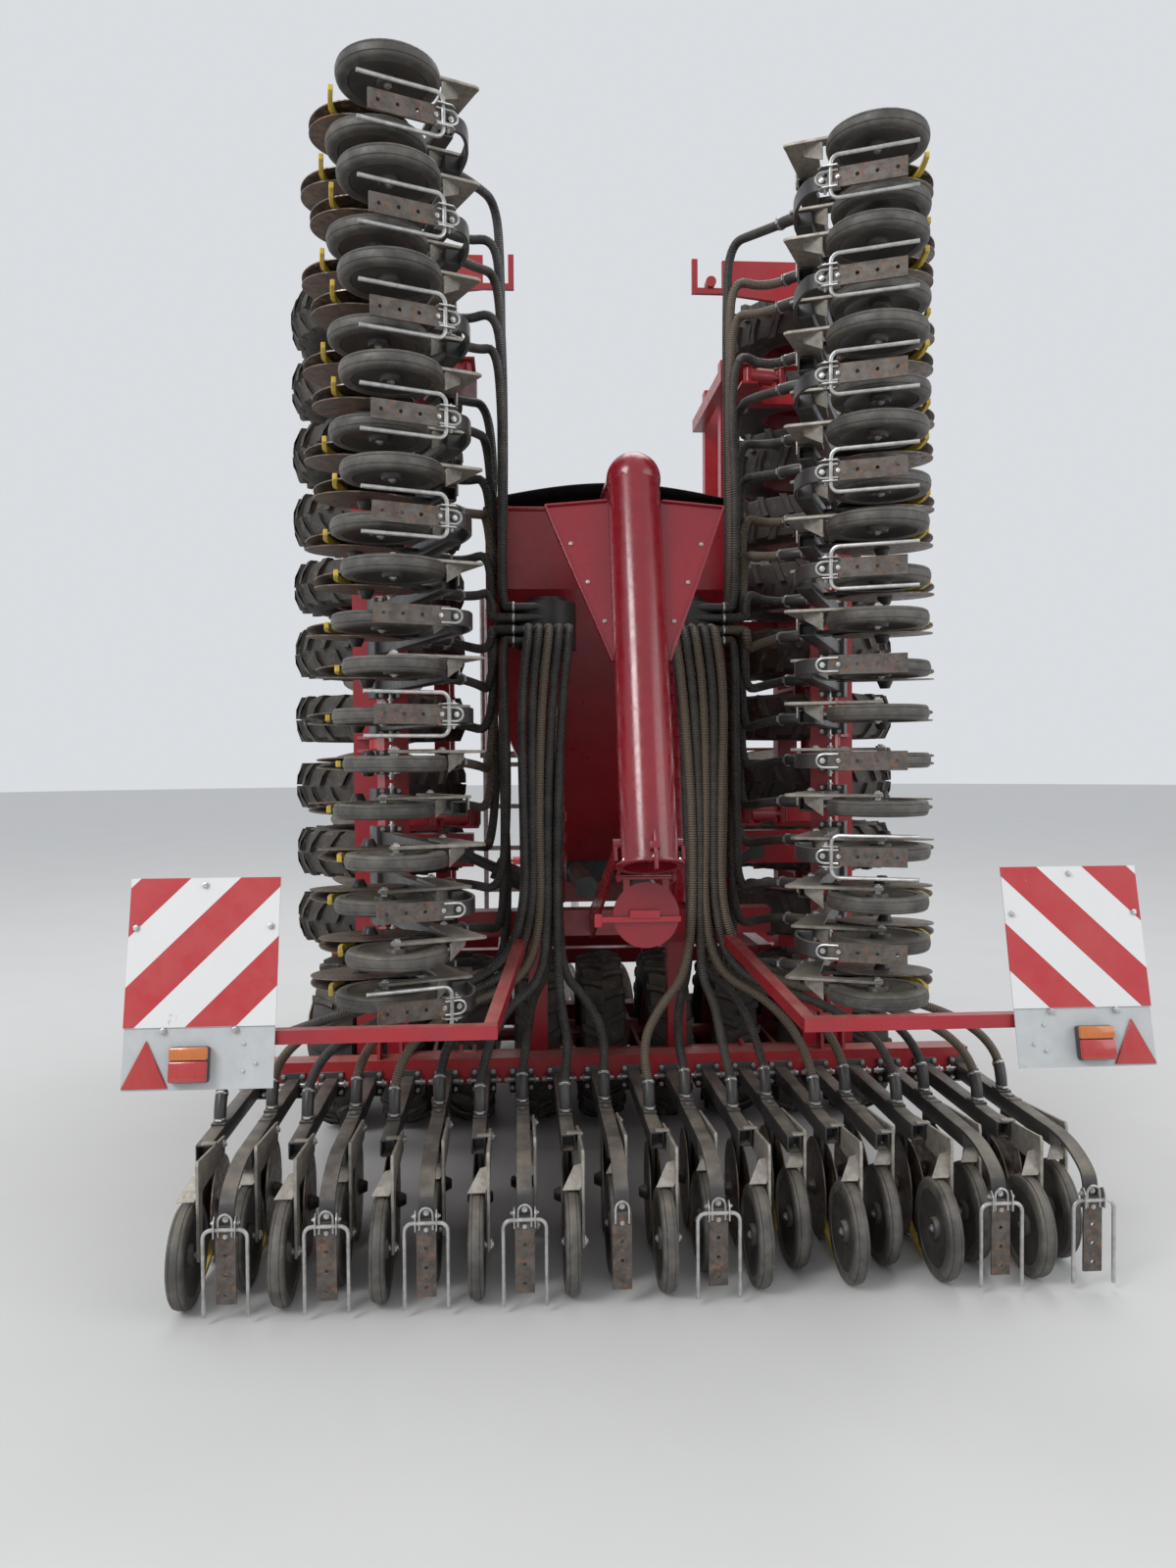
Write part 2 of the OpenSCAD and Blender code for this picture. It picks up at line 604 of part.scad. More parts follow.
// Hopper: side outline as [v, z] and front outline as [x, z]
outlet_z = 1230;
outlet_half = 170;
outlet_v = [hopper_rear_v + 700, hopper_front_v - 750];
hopper_side = [[hopper_rear_v, hopper_top], [hopper_rear_v, hopper_top - 320], [outlet_v[0], outlet_z],
    [outlet_v[1], outlet_z], [hopper_front_v, hopper_top - 650], [hopper_front_v, hopper_top]];
hopper_front = [[-hopper_w / 2, hopper_top], [-hopper_w / 2, hopper_top - 700], [-outlet_half, outlet_z],
    [outlet_half, outlet_z], [hopper_w / 2, hopper_top - 700], [hopper_w / 2, hopper_top]];
module hopper_solid() intersection() {
    plate_x([-hopper_w, hopper_w], hopper_side);
    plate_y([hopper_rear_v - 10, hopper_front_v + 10], hopper_front);
}
module hopper() color(red) placed() {
    difference() {
        hopper_solid();
        // the inside, drawn in by the sheet on every side and open at the top
        translate([0, (hopper_rear_v + hopper_front_v) / 2, hopper_top + 1])
            scale(1 - 2 * hopper_wall / hopper_w)
                translate([0, -(hopper_rear_v + hopper_front_v) / 2, -hopper_top]) hopper_solid();
    }
    // feet on the rails
    for (s = [-1, 1]) for (v = [hopper_rear_v + 750, hopper_front_v - 850])
        plate_y([v, v + 60], [[s * (outlet_half - 2), outlet_z + 2], [s * (rail_x + 30), 1500], [s * (rail_x + 30), rail_top + seat],
            [s * (rail_x - 30), rail_top + seat]]);
}

cover_t = 30;
module hopper_cover() color([0.12, 0.13, 0.14]) placed()
    plate_y([hopper_rear_v + 10, hopper_front_v - 10], [[-hopper_w / 2 + 10, hopper_top + seat],
        [hopper_w / 2 - 10, hopper_top + seat], [hopper_w / 2 - 10, hopper_top + 30], [0, hopper_top + 100],
        [-hopper_w / 2 + 10, hopper_top + 30]]);

// The metering unit hangs from the outlet and blows through pipes to the risers
riser_x = 265;
riser_v = 730;
riser_r = 60;
head_z = 2200;
meter_z = [outlet_z - 100, outlet_z - seat];
meter_v = [outlet_v[0] + 20, outlet_v[1] - 20];
pipe_z = outlet_z - 50;
pipe_r = 45;
module metering_unit() color(black) placed() {
    box([10 - outlet_half, outlet_half - 10], meter_v, meter_z);
    for (s = [-1, 1]) rod_y(s * 110, [riser_v + 180, meter_v[0] + 1], pipe_z, pipe_r);
}

module seed_risers() color(red) placed()
    for (s = [-1, 1]) {
        rod_z(s * riser_x, riser_v, [pipe_z - 30, head_z - 90], riser_r);
        rod_y(s * riser_x, [riser_v, rear_cross_v + 60], pipe_z, pipe_r);
        for (z = [1300 : 80 : head_z - 140]) rod_z(s * riser_x, riser_v, [z, z + 36], riser_r + 8);
    }

// Outlets of a head: lanes side by side, and inner and outer layers of hoses
head_r = 108;
lane = hose_d + 3;
wing_lanes = 6;
centre_lanes = 5;
outlet_len = 14;
outlet_turn = 70;
row_turn = 110;
function lane_at(i, n) = (i - (n - 1) / 2) * lane;
function level_at(outer) = outer ? 0.6 * lane : 1.7 * lane;
module outlet_stub(h) translate([0, 0, h]) rotate([0, 90, 0]) cylinder(h = head_r + outlet_len, r = hose_d / 2 - 3);
module distributor_heads() color(black) placed()
    for (s = [-1, 1]) translate([s * riser_x, riser_v, 0]) {
        rod_z(0, 0, [head_z - 90 + seat, head_z + 85], head_r);
        rod_z(0, 0, [head_z + 85, head_z + 105], 70);
        for (up = [-1, 1], outer = [false, true]) {
            for (i = [0 : wing_lanes - 1]) translate([0, lane_at(i, wing_lanes), 0])
                mirror([s < 0 ? 1 : 0, 0, 0]) outlet_stub(head_z + up * level_at(outer));
        }
        for (outer = [false, true], i = [0 : centre_lanes - 1]) translate([lane_at(i, centre_lanes), 0, 0])
            rotate([0, 0, -90]) outlet_stub(head_z - level_at(outer));
    }

fan_v = 3620;
fan_z = 1350;
module fan() color(black) placed() {
    rod_x([-100, 100], fan_v, fan_z, 250);
    rod_x([-160, -100], fan_v, fan_z, 120);
    box([-60, 60], [fan_v - 60, fan_v + 60], [rail_top + seat, fan_z]);
    rod_y(0, [meter_v[1] + seat, fan_v], outlet_z - 75, 48);
}

// Filling auger: a leaning tube with a flange below and a bend at the top
auger_foot = [0, -270, 1380];
auger_len = 1290;
auger_dir = [0, sin(auger_lean), cos(auger_lean)];
auger_head = auger_foot + auger_len * auger_dir;
auger_wall = 5;
lid_ear_v = 98;
lid_rod_r = 7;
module auger_tube() color(red) placed() {
    difference() {
        union() {
            rod(auger_foot, auger_head, auger_d / 2);
            rod(auger_foot, auger_foot + 8 * auger_dir, auger_d / 2 + 18);
            translate(auger_head) sphere(r = auger_d / 2 + 4);
            rod_y(0, [auger_head[1], hopper_rear_v - 40], auger_head[2], auger_d / 2);
            rod_x([-105, 105], auger_foot[1] + 60, auger_foot[2] + 60, 20);
        }
        rod(auger_foot - 10 * auger_dir, auger_foot + 500 * auger_dir, auger_d / 2 - auger_wall);
    }
    // stays to the hopper and to the rear crossbeam
    box([-40, 40], [auger_head[1] - 40, hopper_rear_v - seat], [hopper_top - 260, hopper_top - 200]);
    for (s = [-1, 1]) plate_x([s * 100 - 5, s * 100 + 5], [[auger_foot[1] + 20, auger_foot[2] + 60],
        [rear_cross_v - seat, rail_top], [rear_cross_v - seat, 1010], [rear_cross_v - 120, 1010],
        [auger_foot[1], auger_foot[2] + 20]]);
    // ears on the flange in which the lid's hinge rod turns
    for (s = [-1, 1]) difference() {
        translate(auger_foot) rotate([-auger_lean, 0, 0]) {
            box([s * 85 - 5, s * 85 + 5], [lid_ear_v, lid_ear_v + 30], [-22, 8]);
            box([s * 85 - 5, s * 85 + 5], [lid_ear_v / 2, lid_ear_v + 1], [0, 8]);
        }
        rod_x([-100, 100], lid_hinge[1], lid_hinge[2], lid_rod_r + seat);
    }
}

// Chute sheets beside the tube, in its own leaning frame: [x, height up the tube]
chute_half = 290;
module auger_chute() color(red) placed()
    translate(auger_foot) rotate([-auger_lean, 0, 0]) for (s = [-1, 1])
        plate_y([-2, 2], [[s * (auger_d / 2 + seat), auger_len - 80], [s * chute_half, auger_len - 100],
            [s * (auger_d / 2 + seat), auger_len - 640]]);

lid_r = 100;
lid_hinge = [0, auger_foot[1] + 105, auger_foot[2] - 42];
module auger_lid() color(red) placed() {
    rod_y(0, [lid_hinge[1] - 3, lid_hinge[1] + 3], lid_hinge[2] - lid_r - 14, lid_r);
    box([-70, -50], [lid_hinge[1] - 3, lid_hinge[1] + 3], [lid_hinge[2] - 60, lid_hinge[2]]);
    box([50, 70], [lid_hinge[1] - 3, lid_hinge[1] + 3], [lid_hinge[2] - 60, lid_hinge[2]]);
    rod_x([-92, 92], lid_hinge[1], lid_hinge[2], lid_rod_r);
}

// Marker boards at the back, their arms and lamps
board_x = section_w / 2 - board / 2;
board_mid = 1070;
module board_place(s) translate([s * board_x, board_v, board_mid]) rotate([-board_lean, 0, 0]) children();
board_back_t = 3;
function board_back(z) = board_v + (z - board_mid) * tan(board_lean) + (board_back_t + seat) / cos(board_lean);
module marker_boards() color("white") placed()
    for (s = [-1, 1]) board_place(s) {
        box([-board / 2, board / 2], [-4, 0], [board_len / 2 - board, board_len / 2]);
        box([-board / 2 + 2, board / 2 - 2], [0, board_back_t], [-board_len / 2, board_len / 2 - 20]);
    }
// Each arm: a tube back from the rear crossbeam, one that slants out and down
// between the coulters, and a crossbar behind the board with two brackets
arm_tube = 40;
board_arm_x = 383;
board_arm_z = 1030;
board_arm_bend_v = 420;
cross_tube_x = 450;
cross_tube_z = 910;
corner_reach = 4;
module cut_seat(x, v, z) box([x[0] - seat, x[1] + seat], [v[0] - seat, v[1] + seat], [z[0] - seat, z[1] + seat]);
module board_arm() {
    half = arm_tube / 2;
    x1 = [board_arm_x - half, board_arm_x + half];
    v1 = [board_arm_bend_v, rear_cross_v - seat];
    z1 = [board_arm_z - half, board_arm_z + half];
    x2 = [cross_tube_x, board_x - 60];
    v2 = [board_v - half, board_v + half];
    z2 = [cross_tube_z - half, cross_tube_z + half];
    box(x1, v1, z1);
    box(x2, v2, z2);
    difference() {
        square_bar([board_arm_x, v1[0] - corner_reach, board_arm_z],
            [cross_tube_x + half, v2[1] + corner_reach, cross_tube_z], arm_tube);
        cut_seat(x1, v1, z1);
        cut_seat(x2, v2, z2);
    }
    for (x = [board_x - 180, board_x - 80]) plate_x([x - 6, x + 6], [[board_back(z2[0]), z2[0]],
        [v2[0] - seat, z2[0]], [v2[0] - seat, z2[1]], [board_back(z2[1]), z2[1]]]);
}
module board_arms() color(red) placed()
    for (s = [0, 1]) mirror([s, 0, 0]) board_arm();
module lamps() color([0.6, 0.05, 0.03]) placed()
    for (s = [-1, 1]) board_place(s)
        translate([s * lamp_out - lamp_w / 2, -lamp_t, lamp_up - board_len / 2]) cube([lamp_w, lamp_t - seat, lamp_h]);

// Loading platform in front of the hopper, its handrails and its ladder
platform_v = 3700;
deck_x = 600;
deck_v = platform_v + 250;
deck_z = 1700;
deck_t = 40;
handrail_h = 1000;
handrail_r = 17;
handrail_x = 580;
module platform() color(zinc) placed() {
    deck_top = deck_z + deck_t;
    hand_z = deck_z + handrail_h;
    box([-deck_x, deck_x], [hopper_front_v + seat, deck_v], [deck_z, deck_top]);
    for (s = [-1, 1]) {
        x = s * handrail_x;
        for (v = [hopper_front_v + 20, deck_v - 20]) rod_z(x, v, [deck_top + seat, hand_z - handrail_r - seat], handrail_r);
        rod_y(x, [hopper_front_v + 20 - handrail_r, deck_v - 20 + handrail_r], hand_z, handrail_r);
        box([s * rail_x - 20, s * rail_x + 20], [hopper_front_v + seat, hopper_front_v + 60],
            [rail_top + seat, deck_z - seat]);
    }
    // ladder with rungs between its two stiles
    for (x = [-deck_x, -deck_x + 350]) box([x, x + 30], [deck_v + seat, deck_v + 40], [500, deck_top]);
    for (z = [520 : 280 : deck_z]) box([-deck_x + 30 + seat, -deck_x + 350 - seat], [deck_v + seat, deck_v + 40], [z, z + 30]);
}

module fold_cylinders() color(black) placed()
    for (s = [-1, 1]) {
        lug = folded_xz(fold_lug_x, fold_lug_w);
        v = anchor_v + anchor_t + 50;
        a = [s * anchor_x, v, anchor_z];
        b = [s * lug[0], v, lug[1]];
        rod(a, a + unit(b - a) * 230, 45);
        rod(a, b, 22);
        rod_y(a[0], [anchor_v + anchor_t + seat, v + 25], a[2], 40);
        rod_y(b[0], [v - 20, v + 20], b[2], 34);
    }

module depth_cylinders_centre() color(red) placed() depth_cylinders(0, 0);

// Hoses of the centre fan out below the board arms, the outer rows' on top
fan_out_z = 675;
fan_out_step = 40;
module hoses_centre() color(rubber) placed()
    for (i = [0 : rows - 1]) {
        row = rows_centre[i];
        s = sign(row[0]);
        outer = !row[1];
        lane_no = floor((i % (rows / 2)) / 2);
        x = s * riser_x + lane_at(lane_no, centre_lanes);
        low = fan_out_z + fan_out_step * (s > 0 ? lane_no : centre_lanes - 1 - lane_no);
        back = riser_v - head_r - (outer ? 2.5 : 1.35) * lane;
        end = [row[0], boot_v(row[1]) + 32, arm_w0 + arm_h / 2 + 104];
        z = head_z - level_at(outer);
        start = [x, riser_v - head_r - outlet_len - seat, z];
        hose(concat([start], smooth([start - [0, 8, 0], [x, back, z], [x, back, z - outlet_turn],
            [x, back, low + 110], [x, back, low],
            [0.6 * x + 0.4 * row[0], back, low], [row[0], end[1] + 25, low], end], 2)), hose_d / 2);
    }

// Wings

module wing_frame() {
    packer_frame(hinge_x + hinge_gap, section_w * 1.5 - 20, wing_plates);
    for (v = [beam_rear_v, beam_front_v]) hinge_cheeks(v);
    lift_clevises(section_w);
    depth_posts(section_w);
    // post that the fold cylinder pulls on
    box([fold_lug_x - 70, fold_lug_x + 70], [beam_rear_v - beam / 2, beam_rear_v + beam / 2],
        [hinge_h + beam / 2 + seat, fold_lug_w + 30]);
    transport_hook();
}

// Hook at the wing's outer end: a plate on the rear beam, and a bar bent to a U
// at its tip, whose open side faces the wing's end
hook_x = section_w * 1.5 - 240;
hook_t = 20;
hook_w = 890;
hook_bar = 24;
hook_len = 130;
hook_rise = 145;
module transport_hook() {
    foot = hinge_h + beam / 2 + seat;
    v = [beam_rear_v - beam / 2 + 20, beam_rear_v - beam / 2 + 20 + hook_t];
    low = hook_x + 60;
    plate_y(v, [[hook_x - 120, foot], [hook_x + 200, foot], [hook_x + 200, hook_w], [low, hook_w],
        [low - 40, foot + 120]]);
    box([low, low + hook_bar], v, [hook_w + seat, hook_w + hook_len]);
    box([low + hook_bar + seat, low + hook_rise], v, [hook_w + hook_len - hook_bar, hook_w + hook_len]);
    rod_y(low + hook_bar + 22 + seat, [v[0] - 15, v[1] + 15], hook_w + 50, 22);
}

module wing_cultivator(side) {
    cultivator_frame(section_w / 2 + 15, section_w * 1.5 - 10, [wing_plates[0] + 90, section_w, section_w * 1.5 - 200]);
    for (row = side == "left" ? rows_left : rows_right)
        translate([row[0], 0, 0]) disc_stalk(row[1], stalk_x);
}

module wing_discs(side)
    for (row = side == "left" ? rows_left : rows_right) translate([row[0], 0, 0]) cultivator_disc(row[1]);

// Hoses of a wing: those to the rows above the head run up, the others down,
// and in each lane the outer hose leaves first
module wing_hoses(list)
    for (j = [0 : rows - 1]) {
        row = list[j];
        z = folded_xz(row[0], 0)[1];
        up = z > head_z ? 1 : -1;
        below = len([for (r = list) if (folded_xz(r[0], 0)[1] < head_z) r]);
        n = up > 0 ? j - below : below - 1 - j;
        outer = n < wing_lanes;
        v = riser_v + lane_at(n % wing_lanes, wing_lanes);
        x = riser_x + head_r + (outer ? 2.6 : 1.45) * lane;
        z0 = head_z + up * level_at(outer);
        tip = raise_point(boot_v(row[1]) + 32, arm_w0 + arm_h / 2 + 104, lift_angle);
        end = [fold_x - tip[1], tip[0], z];
        start = [riser_x + head_r + outlet_len + seat, v, z0];
        if (row[2] >= 0)
            hose(concat([start], smooth(concat(
                [start + [8, 0, 0], [x, v, z0], [x, v, z0 + up * min(outlet_turn, abs(z - z0) / 3)]],
                abs(z - z0) > 2 * row_turn ? [[x, v, z - up * row_turn]] : [],
                [[x, v, z - up * 40], [end[0] - 45, end[1] + 20, z - up * 5], end]), 2)), hose_d / 2);
    }

module wing_frame_left() color(red) placed() folded("left") wing_frame();
module wing_frame_right() color(red) placed() folded("right") wing_frame();
module cultivator_frame_left() color(red) placed() folded("left") wing_cultivator("left");
module cultivator_frame_right() color(red) placed() folded("right") wing_cultivator("right");
module cultivator_discs_left() color(steel) placed() folded("left") wing_discs("left");
module cultivator_discs_right() color(steel) placed() folded("right") wing_discs("right");
module depth_cylinders_left() color(red) placed() folded("left") depth_cylinders(section_w, lift_angle);
module depth_cylinders_right() color(red) placed() folded("right") depth_cylinders(section_w, lift_angle);
module hoses_left() color(rubber) placed() mirror([1, 0, 0]) wing_hoses(rows_left);
module hoses_right() color(rubber) placed() wing_hoses(rows_right);

module packer_axle_centre() color(red) placed()
    packer_axle(-centre_tyres[8] - packer_w * 0.4, centre_tyres[8] + packer_w * 0.4, centre_tyres);
module packer_tyres_centre() color(rubber) placed() packer_tyres(centre_tyres);
module wing_axle() packer_axle(wing_tyres[0] - packer_w * 0.4, wing_plates[3] + 30, wing_tyres);
module packer_axle_left() color(red) placed() folded("left") wing_axle();
module packer_axle_right() color(red) placed() folded("right") wing_axle();
module packer_tyres_left() color(rubber) placed() folded("left") packer_tyres(wing_tyres);
module packer_tyres_right() color(rubber) placed() folded("right") packer_tyres(wing_tyres);

module seed_bar_centre() color(red) placed() seed_bar_set(0);
module seed_bar_left() color(red) placed() folded("left") raised() seed_bar_set(section_w);
module seed_bar_right() color(red) placed() folded("right") raised() seed_bar_set(section_w);
module coulters_centre() color(black) placed() coulter_row(rows_centre);
module coulters_left() color(black) placed() folded("left") raised() coulter_row(rows_left);
module coulters_right() color(black) placed() folded("right") raised() coulter_row(rows_right);
module openers_centre() color(steel) placed() opener_row(rows_centre);
module openers_left() color(steel) placed() folded("left") raised() opener_row(rows_left);
module openers_right() color(steel) placed() folded("right") raised() opener_row(rows_right);
module harrow_centre() color(zinc) placed() harrow_row(rows_centre);
module harrow_left() color(zinc) placed() folded("left") raised() harrow_row(rows_left);
module harrow_right() color(zinc) placed() folded("right") raised() harrow_row(rows_right);
module press_rear_centre() color(rubber) placed() press_row(rows_centre, false);
module press_front_centre() color(rubber) placed() press_row(rows_centre, true);
module press_rear_left() color(rubber) placed() folded("left") raised() press_row(rows_left, false);
module press_front_left() color(rubber) placed() folded("left") raised() press_row(rows_left, true);
module press_rear_right() color(rubber) placed() folded("right") raised() press_row(rows_right, false);
module press_front_right() color(rubber) placed() folded("right") raised() press_row(rows_right, true);

main_frame();
cultivator_frame_centre();
cultivator_discs_centre();
drawbar();
hopper();
hopper_cover();
metering_unit();
fan();
seed_risers();
distributor_heads();
auger_tube();
auger_chute();
auger_lid();
board_arms();
marker_boards();
lamps();
platform();
fold_cylinders();
depth_cylinders_centre();
hoses_centre();
hitch_head();
parking_jack();
packer_axle_centre();
packer_tyres_centre();
seed_bar_centre();
coulters_centre();
openers_centre();
harrow_centre();
press_rear_centre();
press_front_centre();
wing_frame_left();
cultivator_frame_left();
cultivator_discs_left();
depth_cylinders_left();
hoses_left();
packer_axle_left();
packer_tyres_left();
seed_bar_left();
coulters_left();
openers_left();
harrow_left();
press_rear_left();
press_front_left();
wing_frame_right();
cultivator_frame_right();
cultivator_discs_right();
depth_cylinders_right();
hoses_right();
packer_axle_right();
packer_tyres_right();
seed_bar_right();
coulters_right();
openers_right();
harrow_right();
press_rear_right();
press_front_right();
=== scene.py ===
"""Finish of the folded seed drill: camera, light, paint, rubber, hoses and small parts.

Lengths are in metres. A section is modelled as it works, x across, v forwards from
the rear press wheels' axle and w up, and then placed upright or level by a matrix."""
import json
import math
import random

import bmesh
import bpy
from mathutils import Matrix, Vector


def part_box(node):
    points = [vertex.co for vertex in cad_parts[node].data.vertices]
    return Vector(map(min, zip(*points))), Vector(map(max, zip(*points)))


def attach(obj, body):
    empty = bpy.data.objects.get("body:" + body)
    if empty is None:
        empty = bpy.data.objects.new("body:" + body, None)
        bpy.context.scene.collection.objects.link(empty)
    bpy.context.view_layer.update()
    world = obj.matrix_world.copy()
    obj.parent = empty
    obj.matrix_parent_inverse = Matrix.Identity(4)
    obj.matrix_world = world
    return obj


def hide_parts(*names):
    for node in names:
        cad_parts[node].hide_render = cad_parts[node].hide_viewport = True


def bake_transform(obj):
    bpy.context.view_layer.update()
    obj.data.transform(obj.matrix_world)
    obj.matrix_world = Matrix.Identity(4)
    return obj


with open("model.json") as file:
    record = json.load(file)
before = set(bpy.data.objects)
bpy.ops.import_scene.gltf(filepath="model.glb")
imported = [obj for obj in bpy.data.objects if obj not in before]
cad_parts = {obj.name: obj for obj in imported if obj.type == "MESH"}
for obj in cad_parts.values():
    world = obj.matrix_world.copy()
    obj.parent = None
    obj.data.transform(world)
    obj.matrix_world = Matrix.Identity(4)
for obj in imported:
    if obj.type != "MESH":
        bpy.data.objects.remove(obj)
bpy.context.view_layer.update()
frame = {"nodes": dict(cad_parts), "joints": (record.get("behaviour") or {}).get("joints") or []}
NODES = frame["nodes"]
JOINTS = {joint["name"]: joint for joint in frame["joints"]}
random.seed(7)

# Places that the frame gives
V0 = JOINTS["press_turn_rear_centre"]["pos_m"][1]
PACKER_V = JOINTS["packer_turn_centre"]["pos_m"][1] - V0
PACKER_R = JOINTS["packer_turn_centre"]["pos_m"][2]
PRESS_R = JOINTS["press_turn_rear_centre"]["pos_m"][2]
STAGGER = JOINTS["press_turn_front_centre"]["pos_m"][1] - V0
HINGE_X = JOINTS["fold_right"]["pos_m"][0]
HINGE_W = JOINTS["fold_right"]["pos_m"][2]
LIFT_V = JOINTS["lift_centre"]["pos_m"][1] - V0
LIFT_W = JOINTS["lift_centre"]["pos_m"][2]
LIFT = math.radians(23)
BOARD_LEAN = math.radians(13)
FOLD_X = HINGE_X + HINGE_W

# Sizes of the seed rows
ROWS = 20
ROW_PITCH = 0.15
SECTION_W = ROWS * ROW_PITCH
ARM_W0 = 0.41
ARM_W, ARM_H = 0.05, 0.06
PRESS_W = 0.05
OPENER_R = 0.17
OPENER_W0 = 0.172
OPENER_AHEAD = PRESS_R + 0.02 + OPENER_R
BAR_V, BAR_W0, BAR_SIDE = 0.98, 0.45, 0.1
TYRE_W = 0.205
TYRE_PITCH = 2 * ROW_PITCH
RIM_R = 0.205


def section_matrix(section, raised=False):
    """Puts a section that is modelled as it works in its place on the drill."""
    place = Matrix.Translation((0, V0, 0))
    if section != "centre":
        fold = Matrix(((0, 0, -1, FOLD_X), (0, 1, 0, 0), (1, 0, 0, HINGE_W - HINGE_X), (0, 0, 0, 1)))
        side = Matrix.Scale(-1, 4, (1, 0, 0)) if section == "left" else Matrix.Identity(4)
        place = place @ side @ fold
    if raised and section != "centre":
        pivot = Matrix.Translation((0, LIFT_V, LIFT_W))
        place = place @ pivot @ Matrix.Rotation(-LIFT, 4, "X") @ pivot.inverted()
    return place


def raised_point(v, w):
    """Where a point of a wing's raised seed bar lies, as v and w."""
    dv, dw = v - LIFT_V, w - LIFT_W
    return (LIFT_V + dv * math.cos(LIFT) + dw * math.sin(LIFT),
            LIFT_W - dv * math.sin(LIFT) + dw * math.cos(LIFT))


# Harrow kinds of the front rows: 2 is a plate with a tine, 1 a plate alone, 0 neither,
# and -1 is the coulter that is missing
HARROW = {"centre": (2, 2, 2, 2, 1, 2, 0, 0, 2, 2),
          "left": (2, 2, 2, 2, 2, 1, 2, 0, 1, 2),
          "right": (-1, 2, 2, 2, 2, 2, 1, 1, 2, 1)}


def rows_of(section):
    """The seed rows of a section as (x, stands in the front row, harrow kind)."""
    rows = []
    for i in range(ROWS):
        if section == "centre":
            x = (i - (ROWS - 1) / 2) * ROW_PITCH
            front = i % 2 == 1
            place = (i - 1) // 2
        else:
            x = SECTION_W / 2 + (i + 0.5) * ROW_PITCH
            front = i % 2 == (0 if section == "left" else 1)
            place = ((ROWS - 2 if section == "left" else ROWS - 1) - i) // 2
        rows.append((x, front, HARROW[section][place] if front else 0))
    return rows


SECTIONS = ("centre", "left", "right")


def new_object(name, data):
    made = bpy.data.objects.new(name, data)
    bpy.context.scene.collection.objects.link(made)
    return made


# Camera, at the place that fits the photo


def place_camera():
    yaw, pitch, roll = math.radians(3.84), math.radians(1.43), math.radians(0.37)
    ahead = Vector((math.sin(yaw) * math.cos(pitch), math.cos(yaw) * math.cos(pitch), -math.sin(pitch)))
    level = Vector((math.cos(yaw), -math.sin(yaw), 0))
    above = level.cross(ahead)
    right = level * math.cos(roll) - above * math.sin(roll)
    up = level * math.sin(roll) + above * math.cos(roll)
    lens = bpy.data.cameras.new("camera")
    lens.sensor_fit = "VERTICAL"
    lens.sensor_height = 36
    lens.lens = 25.45
    lens.clip_end = 200
    camera = new_object("camera", lens)
    turn = Matrix((right, up, -ahead)).transposed().to_4x4()
    camera.matrix_world = Matrix.Translation((-0.398, V0 - 3.496, 1.706)) @ turn
    bpy.context.scene.camera = camera


place_camera()
bpy.context.scene.view_settings.view_transform = "Standard"


# Shader helpers


def feed(tree, socket, value):
    """Sets a socket to a number or a colour, or links it to an output."""
    if isinstance(value, (int, float)):
        socket.default_value = value
    elif isinstance(value, tuple):
        socket.default_value = value + (1.0,)
    else:
        tree.links.new(value, socket)


def math_node(tree, operation, a, b=0.0, clamp=False):
    node = tree.nodes.new("ShaderNodeMath")
    node.operation = operation
    node.use_clamp = clamp
    for socket, value in zip(node.inputs, (a, b)):
        feed(tree, socket, value)
    return node.outputs[0]


def times(tree, a, b, clamp=False):
    return math_node(tree, "MULTIPLY", a, b, clamp)


def plus(tree, a, b, clamp=False):
    return math_node(tree, "ADD", a, b, clamp)


def ramp(tree, value, low, high, out_low=0.0, out_high=1.0):
    """Maps low..high of a value smoothly to out_low..out_high."""
    node = tree.nodes.new("ShaderNodeMapRange")
    node.interpolation_type = "SMOOTHSTEP"
    for name, number in (("From Min", low), ("From Max", high), ("To Min", out_low), ("To Max", out_high)):
        node.inputs[name].default_value = number
    tree.links.new(value, node.inputs["Value"])
    return node.outputs["Result"]


def mix_colour(tree, factor, a, b):
    node = tree.nodes.new("ShaderNodeMix")
    node.data_type = "RGBA"
    for place, value in ((0, factor), (6, a), (7, b)):
        feed(tree, node.inputs[place], value)
    return node.outputs[2]


def noise(tree, where, scale, detail=4.0, roughness=0.6):
    node = tree.nodes.new("ShaderNodeTexNoise")
    for name, value in (("Vector", where), ("Scale", scale), ("Detail", detail), ("Roughness", roughness)):
        feed(tree, node.inputs[name], value)
    return node.outputs["Fac"]


def stored(tree, name):
    """A number that the mesh stores under a name."""
    node = tree.nodes.new("ShaderNodeAttribute")
    node.attribute_name = name
    return node.outputs["Fac"]


def stretched(tree, where, scale):
    """Object coordinates scaled by three numbers, for streaks and grain."""
    node = tree.nodes.new("ShaderNodeMapping")
    node.inputs["Scale"].default_value = scale
    tree.links.new(where, node.inputs["Vector"])
    return node.outputs["Vector"]


def object_place(tree):
    return tree.nodes.new("ShaderNodeTexCoord").outputs["Object"]


# Effects that several materials share


def new_group(name, inputs, outputs):
    """A node group; its inputs are given with their usual values."""
    tree = bpy.data.node_groups.new(name, "ShaderNodeTree")
    for label, value in inputs.items():
        socket = tree.interface.new_socket(label, in_out="INPUT", socket_type="NodeSocketFloat")
        socket.default_value = value
    for label in outputs:
        tree.interface.new_socket(label, in_out="OUTPUT", socket_type="NodeSocketFloat")
    return tree, tree.nodes.new("NodeGroupInput").outputs, tree.nodes.new("NodeGroupOutput").inputs


